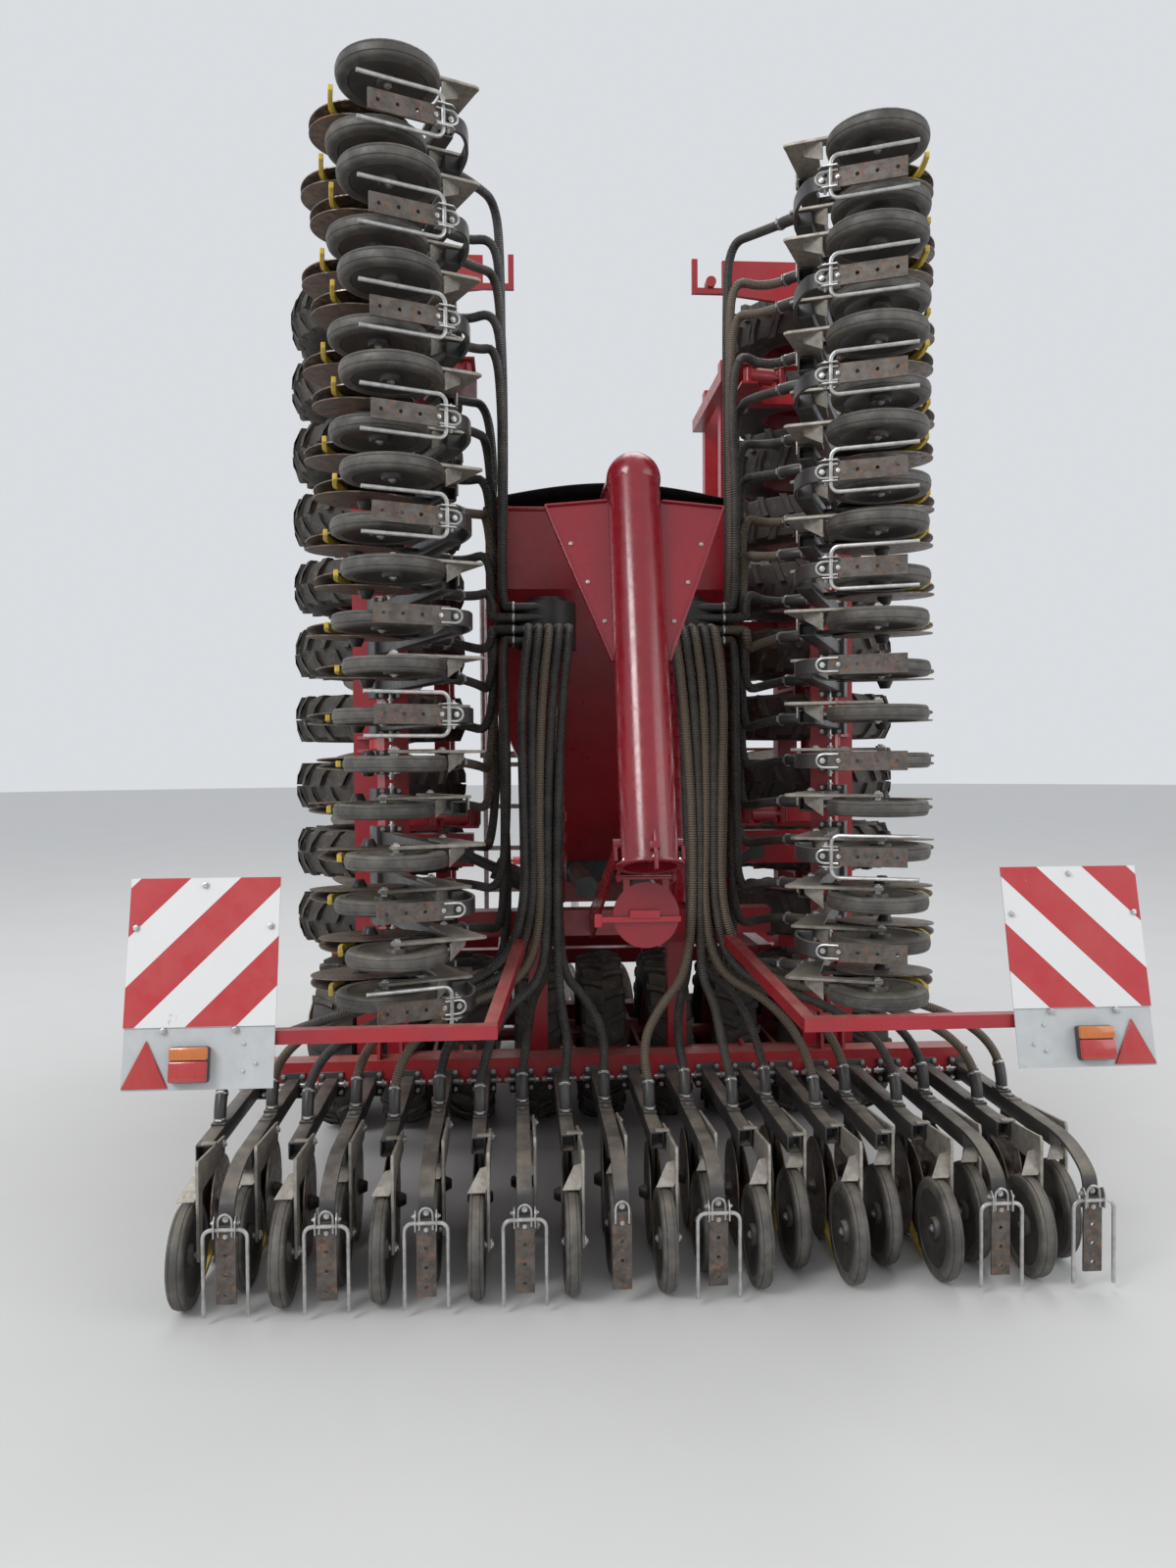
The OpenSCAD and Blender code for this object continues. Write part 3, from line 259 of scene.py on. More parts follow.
def patches(tree, pattern, amount, limit, share, edge):
    """Where a pattern is over a limit, which falls with the amount; the edge says how sharply it ends."""
    lowered = math_node(tree, "SUBTRACT", limit, times(tree, amount, share))
    return times(tree, math_node(tree, "SUBTRACT", pattern, lowered), edge, clamp=True)


def field_dust_group():
    """Pale dust that lies on faces that look up, in hollows of a cloudy pattern."""
    tree, into, out = new_group("field_dust", {"Amount": 0.5, "Sides": 0.15}, ("Mask",))
    coords = tree.nodes.new("ShaderNodeTexCoord").outputs
    facing = tree.nodes.new("ShaderNodeSeparateXYZ")
    tree.links.new(coords["Normal"], facing.inputs[0])
    up = ramp(tree, facing.outputs["Z"], 0.25, 0.95)
    lying = math_node(tree, "MAXIMUM", up, into["Sides"])
    cloud = ramp(tree, noise(tree, coords["Object"], 9.0, 5.0, 0.65), 0.32, 0.7, 0.35, 1.0)
    fine = ramp(tree, noise(tree, coords["Object"], 260.0, 3.0, 0.7), 0.25, 0.75, 0.7, 1.0)
    mask = times(tree, times(tree, lying, cloud), fine)
    tree.links.new(times(tree, mask, into["Amount"], clamp=True), out["Mask"])
    return tree


def worn_patches_group():
    """Scuffs and chips: small patches where the finish has gone."""
    tree, into, out = new_group("worn_patches", {"Amount": 0.3, "Scale": 14.0}, ("Mask", "Scratches"))
    place = object_place(tree)
    patch = patches(tree, noise(tree, place, into["Scale"], 6.0, 0.75), into["Amount"], 0.78, 0.25, 25.0)
    fine = noise(tree, stretched(tree, place, (160.0, 22.0, 40.0)), 1.0, 5.0, 0.8)
    scratch = times(tree, ramp(tree, fine, 0.66, 0.74), into["Amount"])
    tree.links.new(math_node(tree, "MAXIMUM", patch, scratch, clamp=True), out["Mask"])
    tree.links.new(scratch, out["Scratches"])
    return tree


def dried_soil_group():
    """Soil that has splashed and dried in lumps."""
    tree, into, out = new_group("dried_soil", {"Amount": 0.5, "Scale": 22.0}, ("Mask",))
    lumps = noise(tree, object_place(tree), into["Scale"], 8.0, 0.7)
    tree.links.new(patches(tree, lumps, into["Amount"], 0.85, 0.6, 6.0), out["Mask"])
    return tree


GROUPS = {"dust": field_dust_group(), "wear": worn_patches_group(), "soil": dried_soil_group()}


def place_group(tree, name, output="Mask", **values):
    """Puts a shared effect in a material and returns one of its outputs."""
    node = tree.nodes.new("ShaderNodeGroup")
    node.node_tree = GROUPS[name]
    for key, value in values.items():
        node.inputs[key].default_value = value
    return node.outputs[output]


# Materials


def new_material(name):
    material = bpy.data.materials.new(name)
    material.use_nodes = True
    return material, material.node_tree, material.node_tree.nodes["Principled BSDF"]


def bump(tree, shader, height, distance, strength=1.0):
    node = tree.nodes.new("ShaderNodeBump")
    node.inputs["Distance"].default_value = distance
    node.inputs["Strength"].default_value = strength
    tree.links.new(height, node.inputs["Height"])
    tree.links.new(node.outputs["Normal"], shader.inputs["Normal"])


DUST = (0.47, 0.40, 0.31)
SOIL = (0.30, 0.235, 0.165)
PRIMER = (0.10, 0.075, 0.07)
OLD_RUST, NEW_RUST = (0.16, 0.055, 0.025), (0.30, 0.14, 0.07)


def soiled(tree, base, amount, scale, cover):
    """Lays dried soil over a colour and returns the new colour and the soil's mask."""
    mask = place_group(tree, "soil", Amount=amount, Scale=scale)
    return mix_colour(tree, times(tree, mask, cover), base, SOIL), mask


def dusted(tree, shader, base, amount, sides):
    """Lays dust over a colour, gives that to the shader and returns the dust's mask."""
    mask = place_group(tree, "dust", Amount=amount, Sides=sides)
    tree.links.new(mix_colour(tree, mask, base, DUST), shader.inputs["Base Color"])
    return mask


def painted(name, colour, faded, rough=0.32, dust=0.5, sides=0.12, wear=0.25, soil=0.2, coat=0.35,
            metal=PRIMER):
    """Machine paint with faded areas, scuffs, dust on top and dried soil."""
    material, tree, shader = new_material(name)
    place = object_place(tree)
    fade = ramp(tree, noise(tree, place, 2.3, 4.0), 0.35, 0.7)
    worn = place_group(tree, "wear", Amount=wear, Scale=16.0)
    base = mix_colour(tree, worn, mix_colour(tree, fade, colour, faded), metal)
    base, dirt = soiled(tree, base, soil, 18.0, 0.75)
    matt = math_node(tree, "MAXIMUM", dusted(tree, shader, base, dust, sides), dirt)
    gloss = ramp(tree, noise(tree, place, 35.0, 3.0), 0.3, 0.7, rough - 0.06, rough + 0.08)
    tree.links.new(plus(tree, gloss, times(tree, matt, 0.5), clamp=True), shader.inputs["Roughness"])
    shader.inputs["Coat Weight"].default_value = coat
    shader.inputs["Coat Roughness"].default_value = 0.18
    height = plus(tree, times(tree, noise(tree, place, 70.0, 2.0), 0.3), times(tree, matt, 0.6))
    bump(tree, shader, height, 0.0006)
    return material


def bare_metal(name, colour, dark, rough=0.35, rust=0.0, dust=0.3, metallic=0.9, grain=(8.0, 8.0, 90.0)):
    """Steel or zinc with a drawn grain, darker stains, rust and dust."""
    material, tree, shader = new_material(name)
    place = object_place(tree)
    stain = ramp(tree, noise(tree, place, 30.0, 6.0, 0.7), 0.35, 0.68)
    base = mix_colour(tree, stain, colour, dark)
    rusty = ramp(tree, noise(tree, place, 46.0, 7.0, 0.75), 0.62 - 0.3 * rust, 0.72 - 0.3 * rust)
    rusty = times(tree, rusty, min(1.0, rust * 2))
    tone = mix_colour(tree, noise(tree, place, 120.0, 4.0), OLD_RUST, NEW_RUST)
    lying = dusted(tree, shader, mix_colour(tree, rusty, base, tone), dust, 0.25)
    cover = math_node(tree, "MAXIMUM", rusty, lying)
    bare = math_node(tree, "SUBTRACT", 1.0, cover, clamp=True)
    tree.links.new(times(tree, bare, metallic), shader.inputs["Metallic"])
    drawn = noise(tree, stretched(tree, place, grain), 1.0, 4.0, 0.7)
    matt = ramp(tree, drawn, 0.3, 0.7, rough - 0.08, rough + 0.1)
    tree.links.new(plus(tree, matt, times(tree, cover, 0.45), clamp=True), shader.inputs["Roughness"])
    bump(tree, shader, plus(tree, times(tree, drawn, 0.3), cover), 0.0004)
    return material


def rubber(name, colour, dusty, rough=0.72, dust=0.5, soil=0.4):
    """Rubber greyed by sun, with dust and dried soil."""
    material, tree, shader = new_material(name)
    place = object_place(tree)
    base = mix_colour(tree, ramp(tree, noise(tree, place, 14.0, 6.0, 0.7), 0.35, 0.7), colour, dusty)
    base, dirt = soiled(tree, base, soil, 30.0, 0.8)
    matt = math_node(tree, "MAXIMUM", dusted(tree, shader, base, dust, 0.22), dirt)
    dull = ramp(tree, noise(tree, place, 60.0), 0.3, 0.7, rough - 0.08, rough + 0.06)
    tree.links.new(plus(tree, dull, times(tree, matt, 0.2), clamp=True), shader.inputs["Roughness"])
    bump(tree, shader, plus(tree, times(tree, noise(tree, place, 180.0, 3.0), 0.5), matt), 0.0007)
    return material


def plastic(name, colour, rough=0.45, dust=0.35):
    """Moulded plastic with a fine grain."""
    material, tree, shader = new_material(name)
    place = object_place(tree)
    pale = tuple(min(1.0, 1.5 * part + 0.01) for part in colour)
    base = mix_colour(tree, ramp(tree, noise(tree, place, 20.0, 4.0), 0.3, 0.7), colour, pale)
    lying = dusted(tree, shader, base, dust, 0.2)
    tree.links.new(plus(tree, times(tree, lying, 0.4), rough, clamp=True), shader.inputs["Roughness"])
    bump(tree, shader, noise(tree, place, 600.0, 2.0), 0.0002)
    return material


# The boards' bands, measured level across two of them, and how far the sheet reaches down
BAND_PERIOD = 0.2 * math.sqrt(2)
BAND_SHIFT = 0.03
BAND_EDGE = 0.003
SHEET_BELOW_TOP = 0.4115
WHITE_SHEET, RED_SHEET = (0.66, 0.66, 0.66), (0.42, 0.012, 0.022)


def striped_board(name):
    """Sheet with slanted red bands, mirrored left to right, torn and scratched, on a dull plate."""
    material, tree, shader = new_material(name)
    place = object_place(tree)
    sheet_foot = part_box("marker_boards")[1][2] - SHEET_BELOW_TOP
    axes = tree.nodes.new("ShaderNodeSeparateXYZ")
    tree.links.new(place, axes.inputs[0])
    aside = math_node(tree, "ABSOLUTE", axes.outputs["X"])
    slant = plus(tree, aside, times(tree, axes.outputs["Z"], 1 / math.cos(BOARD_LEAN)))
    wave = math_node(tree, "FRACT", math_node(tree, "DIVIDE", plus(tree, slant, BAND_SHIFT), BAND_PERIOD))
    off = math_node(tree, "ABSOLUTE", math_node(tree, "SUBTRACT", wave, 0.5))
    red = ramp(tree, off, 0.25 - BAND_EDGE, 0.25 + BAND_EDGE)
    sheet = mix_colour(tree, red, WHITE_SHEET, RED_SHEET)
    above = ramp(tree, axes.outputs["Z"], sheet_foot - 0.001, sheet_foot + 0.001)
    torn = noise(tree, stretched(tree, place, (9.0, 9.0, 6.0)), 1.0, 9.0, 0.75)
    scuff = place_group(tree, "wear", "Scratches", Amount=0.45, Scale=7.0)
    gone = math_node(tree, "MAXIMUM", ramp(tree, torn, 0.63, 0.655), scuff)
    metal = mix_colour(tree, noise(tree, place, 24.0, 6.0), (0.36, 0.38, 0.39), (0.50, 0.52, 0.52))
    sheet = mix_colour(tree, times(tree, gone, 0.9), sheet, metal)
    dusted(tree, shader, mix_colour(tree, above, metal, sheet), 0.4, 0.25)
    tree.links.new(ramp(tree, noise(tree, place, 18.0), 0.3, 0.7, 0.34, 0.55), shader.inputs["Roughness"])
    bump(tree, shader, gone, 0.0004)
    return material


def ribbed_hose(name, colour, dusty, pitch, depth, sunned):
    """Hose rubber; its ribs follow the stored length, and its stored tone says how sunned it is; on sunned
    hoses the rib grooves are darkened as painted shade.
    """
    material = rubber(name, colour, dusty, rough=0.5, dust=0.35, soil=0.12)
    tree = material.node_tree
    shader = tree.nodes["Principled BSDF"]
    wave = math_node(tree, "SINE", times(tree, stored(tree, "along"), 2 * math.pi / pitch))
    plain = shader.inputs["Base Color"].links[0].from_socket
    # painted shade: the sunned brown falls to 45 % in the rib grooves and is full on the crests
    brown_with_painted_groove_shade = mix_colour(tree, ramp(tree, wave, -1.0, 1.0), tuple(0.45 * part for part in sunned), sunned)
    tree.links.new(mix_colour(tree, stored(tree, "tone"), plain, brown_with_painted_groove_shade), shader.inputs["Base Color"])
    bump(tree, shader, wave, depth)
    return material


def lens(name, colour):
    """Fluted lamp plastic under a thin clear coat."""
    material, tree, shader = new_material(name)
    flutes = noise(tree, stretched(tree, object_place(tree), (700.0, 10.0, 12.0)), 1.0, 1.0)
    dark = tuple(0.6 * part for part in colour)
    dusted(tree, shader, mix_colour(tree, flutes, colour, dark), 0.3, 0.3)
    shader.inputs["Roughness"].default_value = 0.16
    shader.inputs["Coat Weight"].default_value = 0.6
    bump(tree, shader, flutes, 0.0005)
    return material


MATERIALS = {
    "red": painted("red_paint", (0.34, 0.006, 0.016), (0.25, 0.007, 0.017), dust=0.35, coat=0.15),
    # painted shade: a darker copy of the red paint, used for the auger, its chute, lid and fittings, and the
    # seed risers
    "deep_red": painted("auger_red", (0.22, 0.004, 0.012), (0.17, 0.004, 0.012), rough=0.24, dust=0.15,
                        sides=0.03, wear=0.12, soil=0.05),
    "low_red": painted("seed_bar_red", (0.42, 0.009, 0.018), (0.30, 0.009, 0.018), soil=0.35, coat=0.15),
    "black": painted("coulter_black", (0.020, 0.020, 0.022), (0.035, 0.034, 0.034), rough=0.4,
                     sides=0.10, wear=0.3, soil=0.3, coat=0.1, metal=(0.20, 0.13, 0.09)),
    "tyre": rubber("packer_rubber", (0.022, 0.021, 0.020), (0.05, 0.046, 0.042), dust=0.4, soil=0.45),
    "tread": rubber("press_rubber", (0.034, 0.033, 0.032), (0.10, 0.092, 0.080), rough=0.5, dust=0.3,
                    soil=0.3),
    "hub": plastic("wheel_centre", (0.016, 0.016, 0.017), 0.4, 0.5),
    "hose": ribbed_hose("seed_hose", (0.014, 0.014, 0.016), (0.04, 0.038, 0.036), 0.009, 0.0012,
                        (0.21, 0.155, 0.105)),
    "disc": bare_metal("disc_steel", (0.20, 0.185, 0.165), (0.10, 0.085, 0.07), 0.36, rust=0.42, dust=0.4),
    "zinc": bare_metal("zinc_plate", (0.56, 0.56, 0.55), (0.36, 0.36, 0.35), 0.34, rust=0.06),
    "plate": bare_metal("harrow_plate", (0.12, 0.11, 0.105), (0.06, 0.048, 0.042), 0.5, rust=0.34,
                        dust=0.45, metallic=0.7),
    "lever": bare_metal("dusty_lever", (0.40, 0.38, 0.34), (0.24, 0.22, 0.19), 0.5, rust=0.2, dust=0.7,
                        metallic=0.6),
    "cover": plastic("roll_cover", (0.028, 0.031, 0.036), 0.62, 0.3),
    "mould": plastic("black_mould", (0.014, 0.014, 0.015), 0.42),
    "boot": plastic("rubber_boot", (0.018, 0.018, 0.019), 0.36, 0.4),
    "yellow": plastic("firming_tongue", (0.52, 0.36, 0.03), 0.5, 0.45),
    "amber": lens("amber_lens", (0.62, 0.15, 0.01)),
    "red_lens": lens("red_lens", (0.48, 0.008, 0.012)),
    "board": striped_board("board_stripes"),
}


# Mesh helpers


def frame_along(start, end):
    """A matrix at start whose z axis looks at end."""
    start, end = Vector(start), Vector(end)
    return Matrix.Translation(start) @ (end - start).to_track_quat("Z", "Y").to_matrix().to_4x4()


def linked_verts(verts):
    """All vertices that hang together with the given ones."""
    seen = set(verts)
    waiting = list(verts)
    while waiting:
        for edge in waiting.pop().link_edges:
            for vert in edge.verts:
                if vert not in seen:
                    seen.add(vert)
                    waiting.append(vert)
    return list(seen)


def edges_of(verts):
    return list({edge for vert in verts for edge in vert.link_edges})


def verts_in(made):
    return [item for item in made if isinstance(item, bmesh.types.BMVert)]


def edges_in(made):
    return [item for item in made if isinstance(item, bmesh.types.BMEdge)]


def look_outwards(bm, verts):
    """Turns the faces that meet at these vertices outwards."""
    faces = list({face for vert in verts for face in vert.link_faces})
    bmesh.ops.recalc_face_normals(bm, faces=faces)


def bevel_edges(bm, edges, offset, segments=2):
    made = bmesh.ops.bevel(bm, geom=edges, offset=offset, offset_type="OFFSET", affect="EDGES",
                           segments=segments, profile=0.5, material=-1, clamp_overlap=True)
    return made["verts"]


def as_mesh(bm, name):
    """Turns a bmesh into a mesh, which uses the bmesh up."""
    mesh = bpy.data.meshes.new(name)
    bm.to_mesh(mesh)
    bm.free()
    return mesh


def copy_mesh(bm, mesh, place):
    """Adds a copy of a mesh to a bmesh at a place."""
    before = len(bm.verts)
    bm.from_mesh(mesh)
    bm.verts.ensure_lookup_table()
    bmesh.ops.transform(bm, matrix=place, verts=bm.verts[before:])


def add_box(bm, low, high, bevel=0.0, place=Matrix.Identity(4)):
    low, high = Vector(low), Vector(high)
    size = Matrix.Diagonal((high - low).to_4d())
    verts = bmesh.ops.create_cube(bm, size=1.0, matrix=Matrix.Translation((low + high) / 2) @ size)["verts"]
    if bevel:
        verts = bevel_edges(bm, edges_of(verts), bevel)
    verts = linked_verts(verts)
    bmesh.ops.transform(bm, matrix=place, verts=verts)
    return verts


def add_rod(bm, start, end, radius, sides=16, bevel=0.0, end_radius=None):
    start, end = Vector(start), Vector(end)
    length = (end - start).length
    made = bmesh.ops.create_cone(bm, cap_ends=True, segments=sides, radius1=radius,
                                 radius2=radius if end_radius is None else end_radius, depth=length,
                                 matrix=frame_along(start, end) @ Matrix.Translation((0, 0, length / 2)))
    if bevel:
        caps = [edge for edge in edges_of(made["verts"])
                if any(len(face.verts) > 4 for face in edge.link_faces)]
        bevel_edges(bm, caps, bevel)


def mirrored(profile):
    """A lathe profile up to the middle of a wheel, carried on to its other side."""
    return profile + [(radius, -height) for radius, height in reversed(profile[:-1])]


def add_lathe(bm, profile, segments, place):
    """Spins a profile of (radius, height) points round z."""
    verts = [bm.verts.new((radius, 0, height)) for radius, height in profile]
    edges = [bm.edges.new(pair) for pair in zip(verts, verts[1:])]
    bmesh.ops.spin(bm, geom=verts + edges, cent=(0, 0, 0), axis=(0, 0, 1), angle=2 * math.pi,
                   steps=segments, use_merge=True, use_duplicate=False)
    every = linked_verts(verts)
    bmesh.ops.remove_doubles(bm, verts=every, dist=1e-5)
    every = [vert for vert in every if vert.is_valid]
    look_outwards(bm, every)
    bmesh.ops.transform(bm, matrix=place, verts=every)


def thicken(bm, faces, thickness):
    """Makes a solid of flat faces, thick along z, and returns its vertices."""
    top = verts_in(bmesh.ops.extrude_face_region(bm, geom=faces)["geom"])
    bmesh.ops.translate(bm, vec=(0, 0, thickness), verts=top)
    every = linked_verts(top)
    look_outwards(bm, every)
    return every


def add_plate(bm, outline, thickness, place, bevel=0.0):
    """A flat plate from an outline of (x, y) points, thick along z."""
    every = thicken(bm, [bm.faces.new([bm.verts.new((x, y, 0)) for x, y in outline])], thickness)
    if bevel:
        every = linked_verts(bevel_edges(bm, edges_of(every), bevel, 1))
    bmesh.ops.transform(bm, matrix=place, verts=every)
    return every


def add_sweep(bm, points, radius, sides=10, shade=0.0):
    """A tube of even thickness along points, with its length and its tone stored in it."""
    along = bm.verts.layers.float.get("along") or bm.verts.layers.float.new("along")
    tone = bm.verts.layers.float.get("tone") or bm.verts.layers.float.new("tone")
    points = [Vector(point) for point in points]
    count = len(points)
    heading = (points[1] - points[0]).normalized()
    turn = heading.to_track_quat("Z", "Y")
    place = Matrix.Translation(points[0]) @ turn.to_matrix().to_4x4()
    ring = bmesh.ops.create_circle(bm, cap_ends=False, segments=sides, radius=radius, matrix=place)["verts"]
    for vert in ring:
        vert[tone] = shade
    edges = edges_of(ring)
    first, travelled = list(edges), 0.0
    for i in range(1, count):
        ahead = points[min(i + 1, count - 1)] - points[i - 1]
        turn = heading.rotation_difference(ahead.normalized()) @ turn
        heading = ahead.normalized()
        travelled += (points[i] - points[i - 1]).length
        step = Matrix.Translation(points[i]) @ turn.to_matrix().to_4x4()
        made = bmesh.ops.extrude_edge_only(bm, edges=edges)["geom"]
        verts, edges = verts_in(made), edges_in(made)
        bmesh.ops.transform(bm, matrix=step @ place.inverted(), verts=verts)
        for vert in verts:
            vert[along] = travelled
            vert[tone] = shade
        place = step
    bmesh.ops.edgeloop_fill(bm, edges=first)
    bmesh.ops.edgeloop_fill(bm, edges=edges)


def smooth_path(points, spacing):
    """A quadratic blend through the middle of each leg, with points at even steps."""
    points = [Vector(point) for point in points]
    path = [points[0]]
    for i in range(1, len(points) - 1):
        start = points[0] if i == 1 else (points[i - 1] + points[i]) / 2
        end = points[-1] if i == len(points) - 2 else (points[i] + points[i + 1]) / 2
        steps = max(3, round(((points[i] - start).length + (end - points[i]).length) / spacing))
        for k in range(1, steps + 1):
            t = k / steps
            path.append((1 - t) ** 2 * start + 2 * t * (1 - t) * points[i] + t * t * end)
    return path


CLIP_W = 0.009


def hose_clip(bm, centre, heading, radius):
    """A band with its worm screw round a hose."""
    centre, heading = Vector(centre), Vector(heading).normalized()
    half = heading * CLIP_W / 2
    add_rod(bm, centre - half, centre + half, radius + 0.0016, 18, 0.001)
    screw = centre - heading.cross(Vector((1, 0, 0))).normalized() * (radius + 0.004)
    add_rod(bm, screw - Vector((0.009, 0, 0)), screw + Vector((0.012, 0, 0)), 0.0045, 8)


def nut(bm, centre, heading, radius=0.009, height=0.008):
    """A nut with the end of its bolt."""
    centre, heading = Vector(centre), Vector(heading).normalized()
    top = centre + heading * height
    add_rod(bm, centre, top, radius, 6, 0.001)
    add_rod(bm, top, centre + heading * (height + 0.005), radius * 0.55, 8)


def finish_piece(name, bm, material, body, place=None, smooth=35, replaces=()):
    """Turns a bmesh into a piece of the drill that rides on a body."""
    if place is not None:
        bmesh.ops.transform(bm, matrix=place, verts=bm.verts)
        if place.determinant() < 0:
            bmesh.ops.reverse_faces(bm, faces=bm.faces)
    mesh = as_mesh(bm, name)
    mesh.materials.append(MATERIALS[material])
    mesh.shade_smooth()
    mesh.set_sharp_from_angle(angle=math.radians(smooth))
    piece = new_object(name, mesh)
    if body:
        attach(piece, body)
    if replaces:
        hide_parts(*replaces)
    return piece


def paint_node(node, material):
    """Gives a CAD node its material."""
    slots = NODES[node].data.materials
    slots.clear()
    slots.append(MATERIALS[material])


def across(x, v, w):
    """A place on a section whose z axis looks across it, along x."""
    return Matrix.Translation((x, v, w)) @ Matrix.Rotation(math.pi / 2, 4, "Y")


# Light, floor and backdrop


FLOOR_Z = -0.002
SKY, BACKDROP = (0.86, 0.90, 0.96, 1), (0.70, 0.72, 0.75, 1)


def make_stage():
    bm = bmesh.new()
    level = Matrix.Translation((0, 0, FLOOR_Z))
    bmesh.ops.create_circle(bm, cap_ends=True, segments=64, radius=60, matrix=level)
    mesh = as_mesh(bm, "floor")
    material, tree, shader = new_material("pale_floor")
    cloud = noise(tree, object_place(tree), 1.2, 3.0)
    tint = mix_colour(tree, cloud, (0.58, 0.57, 0.55), (0.63, 0.62, 0.60))
    tree.links.new(tint, shader.inputs["Base Color"])
    shader.inputs["Roughness"].default_value = 0.9
    mesh.materials.append(material)
    floor = new_object("floor", mesh)


def make_light():
    """A soft sky that lights, a pale backdrop that is seen, and three lamps."""
    world = bpy.data.worlds.new("studio")
    world.use_nodes = True
    bpy.context.scene.world = world
    tree = world.node_tree
    soft, pale = tree.nodes["Background"], tree.nodes.new("ShaderNodeBackground")
    for node, colour, strength in ((soft, SKY, 0.9), (pale, BACKDROP, 1.0)):
        node.inputs["Color"].default_value = colour
        node.inputs["Strength"].default_value = strength
    rays = tree.nodes.new("ShaderNodeLightPath")
    seen = math_node(tree, "MAXIMUM", rays.outputs["Is Camera Ray"], rays.outputs["Is Glossy Ray"])
    mixer = tree.nodes.new("ShaderNodeMixShader")
    for place, output in enumerate((seen, soft.outputs[0], pale.outputs[0])):
        tree.links.new(output, mixer.inputs[place])
    tree.links.new(mixer.outputs[0], tree.nodes["World Output"].inputs["Surface"])
    for name, place, aim, size, power in (
            ("key", (-7.0, V0 - 7.0, 8.5), (0, V0 + 1.0, 1.2), 4.0, 620.0),
            ("fill", (8.0, V0 - 5.0, 5.0), (0, V0 + 1.0, 1.5), 6.0, 210.0),
            ("top", (1.0, V0 + 4.0, 10.0), (0, V0 + 2.0, 1.0), 6.0, 330.0)):
        lamp = bpy.data.lights.new(name, "AREA")
        lamp.size = size
        lamp.energy = power
        holder = new_object(name, lamp)
        holder.location = place
        holder.rotation_euler = (Vector(aim) - Vector(place)).to_track_quat("-Z", "Y").to_euler()


make_stage()
make_light()


# Packer tyres: a low wide carcass with slanted lugs from each shoulder to the middle

LUGS = 20
LUG_T = 0.034
LUG_FOOT = PACKER_R - 0.0345
LUG_OUTLINE = ((0.004, -0.015), (0.045, 0.004), (0.098, 0.026),
               (0.101, 0.060), (0.045, 0.030), (0.004, 0.010))
CROWN_FALL = 0.030
TYRE_EDGE = 0.0175
AXLE = Matrix.Translation((0, PACKER_V, PACKER_R))


def tyre_mesh():
    """One packer tyre in the middle of the packer's axle."""
    bm = bmesh.new()
    half = TYRE_W / 2
    body = [(RIM_R, -0.76 * half), (RIM_R + 0.012, -0.86 * half), (RIM_R + 0.05, -0.99 * half),
            (RIM_R + 0.095, -half), (PACKER_R - 0.055, -0.93 * half), (PACKER_R - 0.036, -0.82 * half),
            (PACKER_R - 0.028, -0.55 * half), (PACKER_R - 0.025, 0)]
    add_lathe(bm, mirrored(body), 48, across(0, PACKER_V, PACKER_R))
    for k in range(2 * LUGS):
        side = 1 if k % 2 else -1
        lug = add_plate(bm, [(side * a, b) for a, b in LUG_OUTLINE], LUG_T, Matrix.Identity(4))
        for vert in lug:
            # the lug's top follows the tread's crown and its foot sinks into the carcass
            vert.co.z -= CROWN_FALL * (abs(vert.co.x) / half) ** 3
        look_outwards(bm, lug)
        turn = Matrix.Rotation(math.pi * k / LUGS, 4, "X") @ Matrix.Translation((0, 0, LUG_FOOT))
        bmesh.ops.transform(bm, matrix=AXLE @ turn, verts=lug)
    return as_mesh(bm, "one_tyre")


def tyre_places(section):
    if section == "centre":
        return [i * TYRE_PITCH for i in range(-4, 5)]
    return [SECTION_W / 2 + TYRE_W / 2 + TYRE_EDGE + i * TYRE_PITCH for i in range(ROWS // 2)]


def tyre_pieces():
    tyre = tyre_mesh()
    for section in SECTIONS:
        bm = bmesh.new()
        for k, x in enumerate(tyre_places(section)):
            turned = AXLE @ Matrix.Rotation(0.11 * k, 4, "X") @ AXLE.inverted()
            copy_mesh(bm, tyre, Matrix.Translation((x, 0, 0)) @ turned)
        finish_piece(f"tyres_{section}", bm, "tyre", f"packer_roll_{section}",
                     section_matrix(section), replaces=(f"packer_tyres_{section}",))


tyre_pieces()


# Press wheels


def press_wheel_meshes():
    """The rubber tread and the dark dish of a press wheel, about its own axle."""
    half = PRESS_W / 2
    tread = [(0.118, -0.6 * half), (0.122, -0.96 * half), (0.140, -half), (0.150, -0.96 * half),
             (0.1555, -0.80 * half), (0.1575, -0.60 * half), (0.1560, -0.50 * half), (0.1590, -0.42 * half),
             (PRESS_R, -0.22 * half), (PRESS_R, 0)]
    dish = [(0.0123, -0.022), (0.030, -0.024), (0.034, -0.020), (0.036, -0.009), (0.060, -0.007),
            (0.095, -0.013), (0.112, -0.020), (0.119, -0.0225), (0.1205, -0.018), (0.1180, -0.012),
            (0.1180, 0)]
    meshes = []
    for profile, segments in ((tread, 44), (dish, 32)):
        bm = bmesh.new()
        add_lathe(bm, mirrored(profile) + [profile[0]], segments, Matrix.Identity(4))
        meshes.append(as_mesh(bm, "wheel_part"))
    return meshes


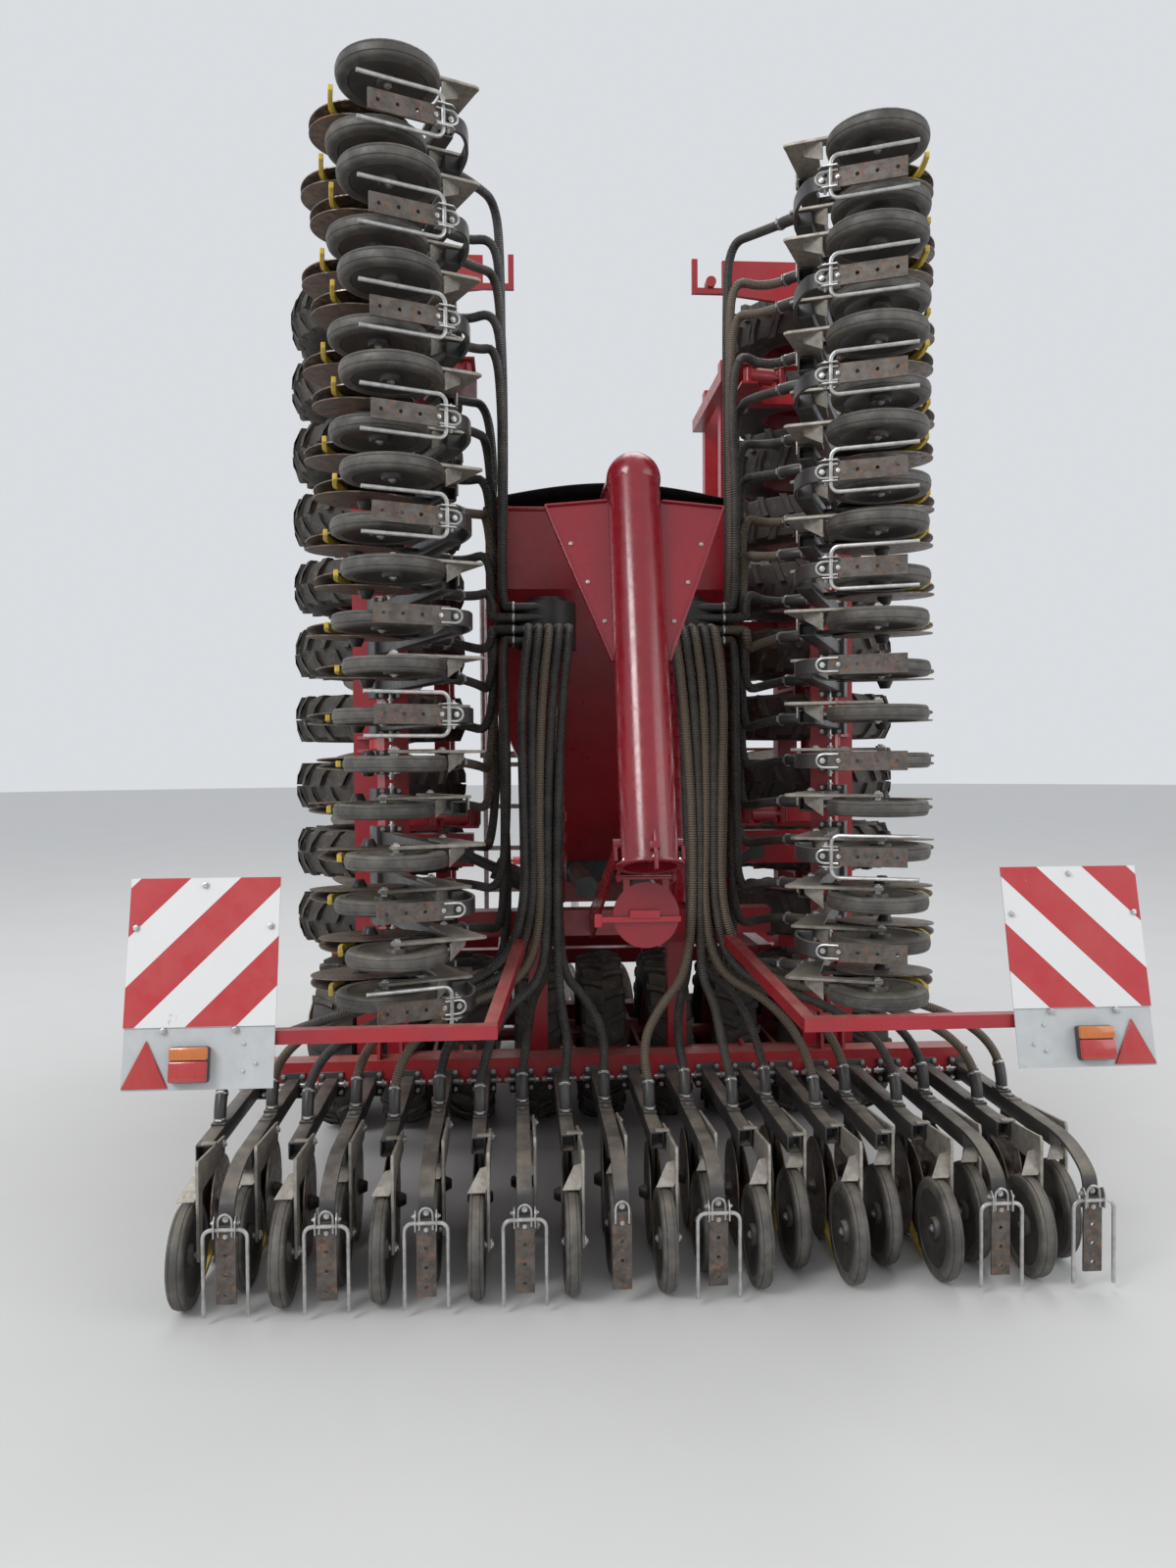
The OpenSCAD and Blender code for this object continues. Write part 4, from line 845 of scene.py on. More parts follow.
def press_pieces():
    tread, dish = press_wheel_meshes()
    for section in SECTIONS:
        for rank, front in (("rear", False), ("front", True)):
            for kind, mesh, material, slot in (("treads", tread, "tread", "press_rubber"),
                                               ("dishes", dish, "hub", "black_plastic")):
                bm = bmesh.new()
                for k, (x, in_front, harrow) in enumerate(rows_of(section)):
                    if in_front == front and harrow >= 0:
                        place = across(x, STAGGER if front else 0, PRESS_R)
                        copy_mesh(bm, mesh, place @ Matrix.Rotation(0.7 * k, 4, "Z"))
                replaced = (f"press_{rank}_{section}",) if kind == "treads" else ()
                finish_piece(f"press_{kind}_{rank}_{section}", bm, material, f"wheels_{rank}_{section}",
                             section_matrix(section, True), replaces=replaced)


press_pieces()


# Seed hoses


RISER_X, RISER_V, HEAD_Z, HEAD_R = 0.265, 0.73, 2.2, 0.108
HOSE_R = 0.017
HOSE_STEP = 0.028
LANE = 0.037
WING_LANES, CENTRE_LANES = 6, 5
OUTLET = 0.0143
BOOT_OUT_V, BOOT_OUT_W = 0.032, 0.544
HOSE_TONES = (0.0, 0.0, 0.1, 0.75)
# The hoses leave a head in two layers: how far each lies off the head's middle, and
# how far it reaches out before it turns towards the wing or down to the centre rows
LAYER_Z = (0.6 * LANE, 1.7 * LANE)
LAYER_OUT = (2.6 * LANE, 1.45 * LANE)
LAYER_BACK = (2.5 * LANE, 1.35 * LANE)
# Where a wing's hoses leave the head, where they lie along the wing, and their raised boots
HEAD_OUT, LANE_IN, LANE_OUT, BOOT_X = 0.389, 0.411, 0.497, 0.576
# Close rings on the straight run where a wing's hoses leave the head
RUN_RINGS, RUN_STEP = 10, 0.0025


def lane_at(i, count):
    return (i - (count - 1) / 2) * LANE


def boot_v(front):
    return (STAGGER if front else 0) + OPENER_AHEAD + 0.055


def centre_hose(i, row):
    """From the head down behind the drill's middle, and then out to the row in a wide bend."""
    x_row, front, _ = row
    side = 1 if x_row > 0 else -1
    layer = 1 if front else 0
    lane = lane_at((i % (ROWS // 2)) // 2, CENTRE_LANES)
    x = side * RISER_X + lane
    waist = side * 0.30 + 0.8 * lane
    back = RISER_V - HEAD_R - LAYER_BACK[layer]
    z = HEAD_Z - LAYER_Z[layer]
    start = Vector((x, RISER_V - HEAD_R - OUTLET, z))
    end = Vector((x_row, boot_v(front) + BOOT_OUT_V, BOOT_OUT_W))
    sway = [random.uniform(-0.012, 0.012) for _ in range(4)]
    far = x_row - waist
    return [start, start - Vector((0, 0.03, 0)), (x, back - 0.02, z - 0.02),
            (x + 0.03 * side, back - 0.03, 1.92), (waist + sway[0], back - 0.05 + sway[1], 1.5),
            (waist + sway[2], back - 0.03, 1.12), (waist + 0.12 * far, back - 0.01, 0.90 + sway[3]),
            (waist + 0.62 * far, end.y + 0.10, 0.80 + sway[3]), (x_row - 0.02 * side, end.y + 0.055, 0.655),
            end]


def wing_hose(j, row, below):
    """From the head out to the wing, along it, and round into the raised row's boot."""
    x_row, front, _ = row
    z = x_row + HINGE_W - HINGE_X
    up = 1 if z > HEAD_Z else -1
    n = j - below if up > 0 else below - 1 - j
    layer = 0 if n < WING_LANES else 1
    v = RISER_V + lane_at(n % WING_LANES, WING_LANES)
    x = RISER_X + HEAD_R + LAYER_OUT[layer]
    z0 = HEAD_Z + up * LAYER_Z[layer]
    tip_v, tip_w = raised_point(boot_v(front) + BOOT_OUT_V, BOOT_OUT_W)
    end = Vector((FOLD_X - tip_w, tip_v, z))
    start = Vector((RISER_X + HEAD_R + OUTLET, v, z0))
    far = abs(z - z0)
    sway = [random.uniform(-0.009, 0.009) for _ in range(3)]
    bow = 0.075 if up < 0 else 0.03
    points = [start, start + Vector((0.02, 0, 0)), (x + 0.01, v, z0)]
    if far > 0.5:
        points.append((x + sway[0], v + 3 * sway[1] - bow, z0 + up * 0.45 * far))
    points.append((x + sway[2], v - 0.4 * bow, z - up * min(0.22, 0.55 * far)))
    return points + [(x + 0.02, v + 0.02, z + up * 0.035), (end.x - 0.06, end.y + 0.095, z + up * 0.012), end]


def in_place(points, side=1):
    """Points given as x, v and z, on the drill."""
    return [Vector((side * point[0], point[1] + V0, point[2])) for point in map(Vector, points)]


def split_path(path, reach):
    """Cuts a path in two pieces that share the point where it passes reach from the middle."""
    cut = next(i for i, point in enumerate(path) if abs(point.x) > reach)
    cut = max(2, min(len(path) - 3, cut))
    return path[:cut + 1], path[cut:]


def hose_piece(name, bm, *replaces):
    return finish_piece(name, bm, "hose", None, smooth=60, replaces=replaces)


def hose_pieces():
    for section in SECTIONS:
        side = -1 if section == "left" else 1
        rows = rows_of(section)
        below = sum(1 for row in rows if row[0] + HINGE_W - HINGE_X < HEAD_Z)
        whole, tips, clips = bmesh.new(), bmesh.new(), bmesh.new()
        for i, row in enumerate(rows):
            if row[2] < 0:
                continue
            points = centre_hose(i, row) if section == "centre" else wing_hose(i, row, below)
            path = smooth_path(in_place(points, side), HOSE_STEP)
            shade = random.choice(HOSE_TONES)
            hose_clip(clips, path[0] + (path[1] - path[0]).normalized() * 0.007, path[1] - path[0], HOSE_R)
            if section == "centre":
                add_sweep(whole, path, HOSE_R, shade=shade)
                continue
            run = [path[0] + Vector((side * RUN_STEP * k, 0, 0)) for k in range(RUN_RINGS)]
            path = run + [point for point in path if abs(point.x) > LANE_IN + 0.001]
            head_part, tip_part = split_path(path, LANE_OUT)
            add_sweep(whole, head_part, HOSE_R, shade=shade)
            add_sweep(tips, tip_part, HOSE_R, shade=shade)
        finish_piece(f"hose_clips_{section}", clips, "zinc", "chassis")
        if section == "centre":
            tips.free()
            piece = hose_piece("hoses_of_centre", whole, "hoses_centre")
            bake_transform(piece)
            continue
        piece = hose_piece(f"hoses_to_{section}_wing", whole, f"hoses_{section}")
        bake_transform(piece)
        piece = hose_piece(f"hose_ends_{section}", tips)
        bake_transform(piece)


hose_pieces()


# Coulters

END_FRONT, END_REAR = 0.110, 0.185
ARM_TOP = ARM_W0 + ARM_H / 2
LEVER_X = (PRESS_W / 2 + 0.007, PRESS_W / 2 + 0.017)
WHEEL_TOP = 2 * PRESS_R + 0.008
BAR_BACK = BAR_V - BAR_SIDE / 2
HARROW_V = -0.12
TINE_R = 0.0065
TINE_V = HARROW_V - 0.013
ALONG_X = Matrix(((0, 0, 1, 0), (1, 0, 0, 0), (0, 1, 0, 0), (0, 0, 0, 1)))


BOOT_R = 0.0212
CLAMP_HALF = 0.047
CLAMP_V = BAR_BACK - 0.014
CLAMP_ROD = (BAR_BACK - 0.028, BAR_W0 - 0.030)
PLATE_HALF, PLATE_T, PLATE_W0 = (0.030, 0.120), 0.008, 0.18
PLATE_STEP, PLATE_HOLE_R = 0.015, 0.0065
TINE_CLAMP_W = 0.268


def side_plate(bm, x, outline, bevel=0.0):
    """A plate that stands across x, from an outline of (v, w) points."""
    return add_plate(bm, outline, x[1] - x[0], Matrix.Translation((x[0], 0, 0)) @ ALONG_X, bevel)


def strip_outline(path, thickness):
    """Outline of a strip of even thickness on one side of a rounded path of (v, w) points."""
    points = smooth_path([(v, w, 0) for v, w in path], 0.02)
    far = []
    for i, point in enumerate(points):
        ahead = points[min(i + 1, len(points) - 1)] - points[max(i - 1, 0)]
        far.append(point + Vector((-ahead.y, ahead.x, 0)).normalized() * thickness)
    return [(point.x, point.y) for point in points + far[::-1]]


def open_end(bm, verts, wall, depth):
    """Hollows the end of a square tube that looks back along v."""
    faces = {face for vert in verts for face in vert.link_faces if face.normal.y < -0.99}
    end = max(faces, key=lambda face: face.calc_area())
    bmesh.ops.inset_individual(bm, faces=[end], thickness=wall, depth=0.0)
    bmesh.ops.translate(bm, vec=(0, depth, 0), verts=end.verts)


def coulter_arm(parts, front, harrow):
    """The arm's square tube, open behind where it has no harrow, and the front row's eye and catch."""
    black = parts["arms"]
    end = END_FRONT if front else END_REAR
    tube = add_box(black, (-ARM_W / 2, end, ARM_W0 - ARM_H / 2), (ARM_W / 2, BAR_BACK - 0.002, ARM_TOP),
                   0.006)
    if not harrow:
        open_end(black, tube, 0.006, 0.05)
        add_box(parts["levers"], (ARM_W / 2 - 0.03, end - 0.002, ARM_TOP - 0.001),
                (LEVER_X[1], end + 0.022, ARM_TOP + 0.005), 0.001)
    if front:
        v = boot_v(front) - 0.068
        add_rod(black, (0, v, ARM_TOP - 0.001), (0, v, ARM_TOP + 0.004), 0.018, 14, 0.001)
        add_rod(parts["fittings"], (0, v, ARM_TOP + 0.003), (0, v, ARM_TOP + 0.0065), 0.009, 10)
        catch = [(-0.022, -0.115), (0.022, -0.115), (0.020, -0.095), (0, -0.088), (-0.020, -0.095)]
        behind = Matrix.Translation((0, boot_v(front) - 0.01, ARM_TOP - 0.001))
        add_plate(black, catch, 0.004, behind, 0.0008)


def seed_boot(parts, front):
    """A foot on the arm and a rubber elbow with two clips."""
    v = boot_v(front)
    add_box(parts["arms"], (-0.024, v - 0.034, ARM_TOP - 0.003), (0.024, v + 0.034, ARM_TOP + 0.008), 0.003)
    elbow = smooth_path([(0, v - 0.002, ARM_TOP + 0.006), (0, v - 0.004, ARM_TOP + 0.055),
                         (0, v + 0.031, ARM_TOP + 0.103)], 0.01)
    add_sweep(parts["boots"], elbow, BOOT_R, 14)
    hose_clip(parts["fittings"], (0, v - 0.002, ARM_TOP + 0.016), (0, 0, 1), BOOT_R)
    hose_clip(parts["fittings"], (0, v + 0.026, ARM_TOP + 0.094), elbow[-1] - elbow[-3], BOOT_R)


def coulter_clamp(parts):
    """What holds an arm to the seed bar: a plate, its bolts and the rod beside it."""
    black, zinc = parts["arms"], parts["fittings"]
    for low, ahead, high, bevel in ((-0.082, -0.001, 0.012, 0.002), (-0.088, 0.09, -0.052, 0.003)):
        add_box(black, (-CLAMP_HALF, CLAMP_V, BAR_W0 + low),
                (CLAMP_HALF, BAR_BACK + ahead, BAR_W0 + high), bevel)
    for side in (-1, 1):
        for w in (BAR_W0 + 0.001, BAR_W0 - 0.066):
            nut(zinc, (side * 0.037, CLAMP_V, w), (0, -1, 0), 0.010)
        add_rod(zinc, (side * 0.026, *CLAMP_ROD), (side * 0.068, *CLAMP_ROD), 0.009, 12, 0.001)
        nut(zinc, (side * 0.050, *CLAMP_ROD), (side, 0, 0), 0.014, 0.006)


def opener_shank(parts, opener):
    """The shank that carries the two opener discs, with a hub on each."""
    black = parts["arms"]
    shank = [(opener - 0.05, ARM_W0), (opener - 0.05, 0.24), (opener - 0.024, 0.15),
             (opener + 0.026, 0.15), (opener + 0.05, 0.24), (opener + 0.05, ARM_W0)]
    side_plate(black, (-0.007, 0.007), shank, 0.001)
    for side in (-1, 1):
        hub = Matrix.Translation((0, opener, OPENER_W0)) @ Matrix.Rotation(math.radians(3 * side), 4, "Z")
        inner, middle, outer = (hub @ Vector((side * x, 0, 0)) for x in (0, 0.016, 0.044))
        add_rod(black, inner, middle, 0.030, 20)
        add_rod(black, middle, outer, 0.029, 20, 0.003, 0.017)


def press_lever(parts, wheel, opener):
    """The lever from the arm to the press wheel's axle, with its nuts."""
    zinc = parts["fittings"]
    lever = [(wheel - 0.018, 0.142), (wheel + 0.018, 0.142), (wheel + 0.026, 0.35), (opener - 0.05, 0.365),
             (opener - 0.04, ARM_W0 + 0.018), (wheel + 0.02, ARM_TOP + 0.012),
             (wheel - 0.010, ARM_TOP + 0.016), (wheel - 0.018, ARM_TOP)]
    side_plate(parts["levers"], LEVER_X, lever, 0.0015)
    add_box(parts["arms"], (0, opener - 0.105, ARM_W0 - 0.015),
            (LEVER_X[0] + 0.001, opener - 0.045, ARM_W0 + 0.015), 0.002)
    add_rod(zinc, (-PRESS_W / 2 + 0.001, wheel, PRESS_R), (LEVER_X[1], wheel, PRESS_R), 0.012, 16)
    nut(zinc, (LEVER_X[1] - 0.002, wheel, PRESS_R), (1, 0, 0), 0.016, 0.008)
    nut(zinc, (-PRESS_W / 2 + 0.002, wheel, PRESS_R), (-1, 0, 0), 0.014, 0.004)
    nut(zinc, (LEVER_X[1] - 0.001, opener - 0.075, ARM_W0), (1, 0, 0), 0.014, 0.008)


def coulter_tools(parts, front):
    """Opener shank, press wheel lever, scraper and firming tongue."""
    wheel = STAGGER if front else 0.0
    opener = wheel + OPENER_AHEAD
    opener_shank(parts, opener)
    press_lever(parts, wheel, opener)
    lean = Matrix.Translation((0, wheel - 0.012, WHEEL_TOP)) @ Matrix.Rotation(math.radians(58), 4, "X")
    reach = LEVER_X[0] + 0.002
    add_plate(parts["scrapers"], [(-0.030, 0), (0.026, 0), (reach, 0.014), (reach, 0.082), (0.010, 0.076)],
              0.004, lean, 0.0006)
    tongue = [(opener - 0.02, 0.10), (opener - 0.09, 0.045), (wheel + 0.20, 0.022), (wheel + 0.125, 0.006)]
    side_plate(parts["tongues"], (-0.010, 0.010), strip_outline(tongue, -0.015), 0.002)


def harrow_plate(plate):
    """The upright plate with four holes, cut out of a grid."""
    half_w, half_h = PLATE_HALF
    flat = bmesh.ops.create_grid(plate, x_segments=4, y_segments=16, size=1.0)["verts"]
    bmesh.ops.transform(plate, matrix=Matrix.Diagonal((half_w, half_h, 1, 1)), verts=flat)
    holes = [vert for vert in flat
             if abs(vert.co.x) < 1e-6 and round((vert.co.y + half_h) / PLATE_STEP) % 4 == 2]
    for hole in holes:
        centre = hole.co.copy()
        ring = {vert for face in hole.link_faces for vert in face.verts if vert != hole}
        bmesh.ops.delete(plate, geom=[hole], context="VERTS")
        for vert in ring:
            vert.co = centre + (vert.co - centre).normalized() * PLATE_HOLE_R
    faces = list({face for vert in flat if vert.is_valid for face in vert.link_faces})
    every = thicken(plate, faces, PLATE_T)
    stand = Matrix.Translation((0, HARROW_V, PLATE_W0)) @ Matrix.Rotation(math.pi / 2, 4, "X")
    bmesh.ops.transform(plate, matrix=stand, verts=every)


def harrow_parts(parts, kind):
    """Strap from the arm's end, plate, the bow that clamps it and, for kind 2, the bent tine."""
    strap = [(END_FRONT + 0.03, ARM_TOP), (0.045, ARM_TOP - 0.002), (-0.075, 0.392), (HARROW_V, 0.345),
             (HARROW_V, 0.262)]
    side_plate(parts["arms"], (-0.024, 0.024), strip_outline(strap, 0.011), 0.0015)
    harrow_plate(parts["plates"])
    zinc = parts["tines"]
    nut(zinc, (0, HARROW_V - 0.008, TINE_CLAMP_W), (0, -1, 0), 0.008, 0.004)
    bow = [(0.021 * math.cos(math.pi * k / 8), HARROW_V - 0.012, 0.312 + 0.024 * math.sin(math.pi * k / 8))
           for k in range(9)]
    foot = [(side * 0.021, HARROW_V - 0.012, TINE_CLAMP_W) for side in (1, -1)]
    add_sweep(zinc, foot[:1] + bow + foot[1:], 0.004, 8)
    nut(zinc, (0, HARROW_V - 0.001, 0.318), (0, -1, 0), 0.010, 0.005)
    if kind == 2:
        tine_parts(zinc)


def tine_parts(zinc):
    """A rod bent into a wide arch over the plate, and the two lugs that hold it."""
    half, bend, top = 0.066, 0.026, 0.29
    rod = [(-half, TINE_V, 0.025)]
    for side in (-1, 1):
        corner = [(side * (half - bend + bend * math.sin(a)), TINE_V, top - bend + bend * math.cos(a))
                  for a in (math.pi / 2 * k / 5 for k in range(6))]
        rod += corner if side > 0 else corner[::-1]
    add_sweep(zinc, rod + [(half, TINE_V, 0.025)], TINE_R, 10)
    lug = [(HARROW_V - 0.026, 0.268), (HARROW_V + 0.006, 0.262), (HARROW_V + 0.006, 0.322),
           (HARROW_V - 0.010, 0.330), (HARROW_V - 0.026, 0.315)]
    for side in (-1, 1):
        side_plate(zinc, (side * 0.032 - 0.002, side * 0.032 + 0.002), lug, 0.0006)
        nut(zinc, (side * 0.034, HARROW_V - 0.004, 0.308), (side, 0, 0), 0.008, 0.005)


# A coulter's parts as (name of the piece, material, slot)
COULTER_FINISH = {
    "arms": ("coulter_arms", "black", "black_paint"),
    "boots": ("seed_boots", "boot", "black_plastic"),
    "fittings": ("coulter_fittings", "zinc", "zinc"),
    "levers": ("wheel_levers", "lever", "zinc"),
    "scrapers": ("scrapers", "lever", "worn_steel"),
    "tongues": ("firming_tongues", "yellow", "black_plastic"),
    "plates": ("harrow_plates", "plate", "worn_steel"),
    "tines": ("harrow_tines", "zinc", "zinc"),
}
COULTER_REPLACES = {"arms": "coulters", "plates": "harrow"}


def coulter_meshes(front, kind):
    """One row's coulter as a mesh for each part."""
    parts = {part: bmesh.new() for part in COULTER_FINISH}
    coulter_arm(parts, front, kind > 0)
    seed_boot(parts, front)
    coulter_clamp(parts)
    coulter_tools(parts, front)
    if kind > 0:
        harrow_parts(parts, kind)
    return {part: as_mesh(bm, "row_part") for part, bm in parts.items()}


def coulter_pieces():
    kinds = {kind: coulter_meshes(*kind) for kind in ((False, 0), (True, 0), (True, 1), (True, 2))}
    for section in SECTIONS:
        place = section_matrix(section, True)
        for part, (name, look, slot) in COULTER_FINISH.items():
            bm = bmesh.new()
            for x, front, kind in rows_of(section):
                if kind >= 0:
                    copy_mesh(bm, kinds[front, kind][part], Matrix.Translation((x, 0, 0)))
            replaced = (f"{COULTER_REPLACES[part]}_{section}",) if part in COULTER_REPLACES else ()
            finish_piece(f"{name}_{section}", bm, look, f"seeder_{section}", place, replaces=replaced)


coulter_pieces()


# Marker boards: lamps, reflectors and bolts

BOARD = 0.423
BOARD_LEN = 0.595
BOARD_X = SECTION_W / 2 - BOARD / 2
BOARD_PLACE = (V0 - 0.285, 1.07)
LAMP_W, LAMP_H, LAMP_T = 0.110, 0.100, 0.040
LAMP_UP, LAMP_OUT = 0.020, 0.020
LENS_BACK = -0.022
REFLECTOR_BASE, REFLECTOR_H = 0.128, 0.132
# Places on the right board, as x and z; the left board mirrors them
BOARD_NUTS = ((0.19, 0.155), (-0.19, 0.155), (0.0, 0.275), (-0.10, -0.135), (0.10, -0.135))
BOARD_RIVETS = ((-0.125, -0.175), (-0.125, -0.25), (-0.16, -0.23))


def board_matrix(side):
    """The board's own frame: x across, y out of its back, z up along it."""
    y, z = BOARD_PLACE
    return Matrix.Translation((side * BOARD_X, y, z)) @ Matrix.Rotation(-BOARD_LEAN, 4, "X")


def board_details():
    housing, amber, red, zinc = bmesh.new(), bmesh.new(), bmesh.new(), bmesh.new()
    foot = -BOARD_LEN / 2
    for side in (-1, 1):
        place = board_matrix(side)
        x0, z0 = side * LAMP_OUT - LAMP_W / 2, foot + LAMP_UP
        add_box(housing, (x0, -0.026, z0), (x0 + LAMP_W, -0.001, z0 + LAMP_H), 0.008, place)
        for glass, low, high in ((red, 0.002, 0.060), (amber, 0.061, LAMP_H - 0.002)):
            add_box(glass, (x0 + 0.002, -LAMP_T + 0.001, z0 + low),
                    (x0 + LAMP_W - 0.002, LENS_BACK, z0 + high), 0.006, place)
        x = side * (BOARD / 2 - 0.067)
        triangle = [(x - REFLECTOR_BASE / 2, 0), (x + REFLECTOR_BASE / 2, 0), (x, REFLECTOR_H)]
        flat = place @ Matrix.Translation((0, -0.001, foot + 0.006)) @ Matrix.Rotation(math.pi / 2, 4, "X")
        add_plate(red, triangle, 0.006, flat, 0.002)
        back = place.to_3x3() @ Vector((0, -1, 0))
        for bx, bz in BOARD_NUTS:
            nut(zinc, place @ Vector((side * bx, -0.0035, bz)), back, 0.010, 0.005)
        for bx, bz in BOARD_RIVETS:
            centre = place @ Vector((side * bx, -0.001, bz))
            add_rod(zinc, centre, centre + 0.003 * back, 0.005, 10, 0.001)
    finish_piece("lamp_housings", housing, "mould", "chassis", replaces=("lamps",))
    finish_piece("amber_lenses", amber, "amber", "chassis")
    finish_piece("red_lenses", red, "red_lens", "chassis")
    finish_piece("board_bolts", zinc, "zinc", "chassis")


board_details()


# Filling auger: flight, latch, bar on the lid and the folded edges of the chute

AUGER_FOOT = Vector((0, V0 - 0.27, 1.38))
AUGER_LEN = 1.29
AUGER_R = 0.085
AUGER_LEAN = math.radians(18)
CHUTE_HALF = 0.29
LID_R = 0.1
LID_PLACE = Vector((0, V0 - 0.168, 1.224))
AUGER_PLACE = Matrix.Translation(AUGER_FOOT) @ Matrix.Rotation(-AUGER_LEAN, 4, "X")
FLIGHT_R = (0.018, 0.074)
FLIGHT_Z = (0.06, 0.063)
FLIGHT_RISE = 0.004
LATCH_Y = -AUGER_R - 0.026
BOLT_RING_R = AUGER_R + 0.010


def auger_flight():
    """The screw inside the foot of the auger, on its shaft."""
    bm = bmesh.new()
    (inner, outer), (low, high) = FLIGHT_R, FLIGHT_Z
    corners = [bm.verts.new((x, 0, z)) for x, z in ((inner, low), (outer, low), (outer, high), (inner, high))]
    rim = [bm.edges.new((corners[k], corners[(k + 1) % 4])) for k in range(4)]
    bmesh.ops.spin(bm, geom=corners + rim, cent=(0, 0, 0), axis=(0, 0, 1), dvec=(0, 0, FLIGHT_RISE),
                   angle=2.6 * math.pi, steps=56, use_merge=False, use_duplicate=False)
    bmesh.ops.holes_fill(bm, edges=[edge for edge in bm.edges if edge.is_boundary], sides=4)
    bmesh.ops.recalc_face_normals(bm, faces=bm.faces)
    add_rod(bm, (0, 0, 0.03), (0, 0, 0.40), 0.019, 16, 0.002)
    nut(bm, (0, 0, 0.03), (0, 0, -1), 0.012, 0.008)
    finish_piece("auger_flight", bm, "disc", "chassis", AUGER_PLACE)


def auger_fittings():
    """The collar and latch at the auger's foot, the folded edges of the chute and the bolts."""
    red, zinc = bmesh.new(), bmesh.new()
    add_lathe(red, [(AUGER_R + 0.0005, 0.010), (AUGER_R + 0.017, 0.006), (AUGER_R + 0.0185, 0.0005),
                    (AUGER_R + 0.0005, 0.0008)], 48, Matrix.Identity(4))
    add_rod(red, (0.004, LATCH_Y, -0.030), (0.004, LATCH_Y, 0.085), 0.0065, 10, 0.002)
    add_box(red, (-0.010, LATCH_Y - 0.006, 0.030), (0.018, -AUGER_R + 0.002, 0.052), 0.002)
    for k in range(6):
        angle = math.pi * (k + 0.5) / 3
        place = (BOLT_RING_R * math.cos(angle), BOLT_RING_R * math.sin(angle), 0.007)
        nut(zinc, place, (0, 0, 1), 0.006, 0.004)
    for side in (-1, 1):
        top = Vector((side * CHUTE_HALF, 0, AUGER_LEN - 0.1))
        low, inner = (Vector((side * (AUGER_R + 0.004), 0, AUGER_LEN - down)) for down in (0.64, 0.08))
        for start, end in ((low, top), (top, inner)):
            add_box(red, (-0.011, -0.0035, 0), (0.011, 0.0035, (end - start).length), 0.001,
                    frame_along(start, end))
        for share in (0.25, 0.5, 0.75):
            nut(zinc, low.lerp(top, share) + Vector((-side * 0.03, -0.002, 0)), (0, -1, 0), 0.007, 0.004)
    # the auger's fittings take the red with painted shade
    finish_piece("auger_fittings", red, "deep_red", "chassis", AUGER_PLACE)
    finish_piece("auger_bolts", zinc, "zinc", "chassis", AUGER_PLACE)


def lid_bar():
    """The bar across the lid, with a block on it and a stop at its end, and the lid's raised edge."""
    bm = bmesh.new()
    y, z = LID_PLACE.yz
    add_box(bm, (-0.150, y - 0.012, z - 0.020), (0.104, y, z - 0.004), 0.002)
    add_box(bm, (-0.052, y - 0.017, z - 0.008), (0.040, y - 0.001, z + 0.016), 0.003)
    add_box(bm, (-0.158, y - 0.014, z - 0.034), (-0.136, y, z + 0.006), 0.003)
    edge = [(LID_R - 0.004, 0.0), (LID_R + 0.0005, 0.0), (LID_R + 0.0005, 0.009), (LID_R - 0.004, 0.009)]
    flat = Matrix.Translation((0, y + 0.0002, z)) @ Matrix.Rotation(-math.pi / 2, 4, "X")
    add_lathe(bm, edge + edge[:1], 48, flat)
    finish_piece("lid_bar", bm, "red", "lid")


auger_flight()
auger_fittings()
lid_bar()


# Hopper: the rim and the cloth cover stretched over its bows

HOPPER_X = 0.5
HOPPER_TOP = 2.68
HOPPER_V = (0.85, 3.30)
RIM_DOWN = 0.010
BOWS = 6
COVER_HALF, CROWN_HALF = 0.493, 0.487
COVER_INSET = 0.012
HEM_Z = (0.004, 0.031)
CROWN_Z, CROWN_RISE = 0.033, 0.064
SAG = 0.009
ACROSS_STEPS, ALONG_STEPS = 40, 96


def cover_section():
    """The cover from hem to hem, as (x, z) points."""
    hem = [(COVER_HALF, HOPPER_TOP + z) for z in HEM_Z]
    crown = []
    for k in range(ACROSS_STEPS + 1):
        rise = CROWN_RISE * math.cos(math.pi * (k / ACROSS_STEPS - 0.5))
        crown.append((2 * CROWN_HALF * k / ACROSS_STEPS - CROWN_HALF, HOPPER_TOP + CROWN_Z + rise))
    return [(-x, z) for x, z in hem] + crown + hem[::-1]


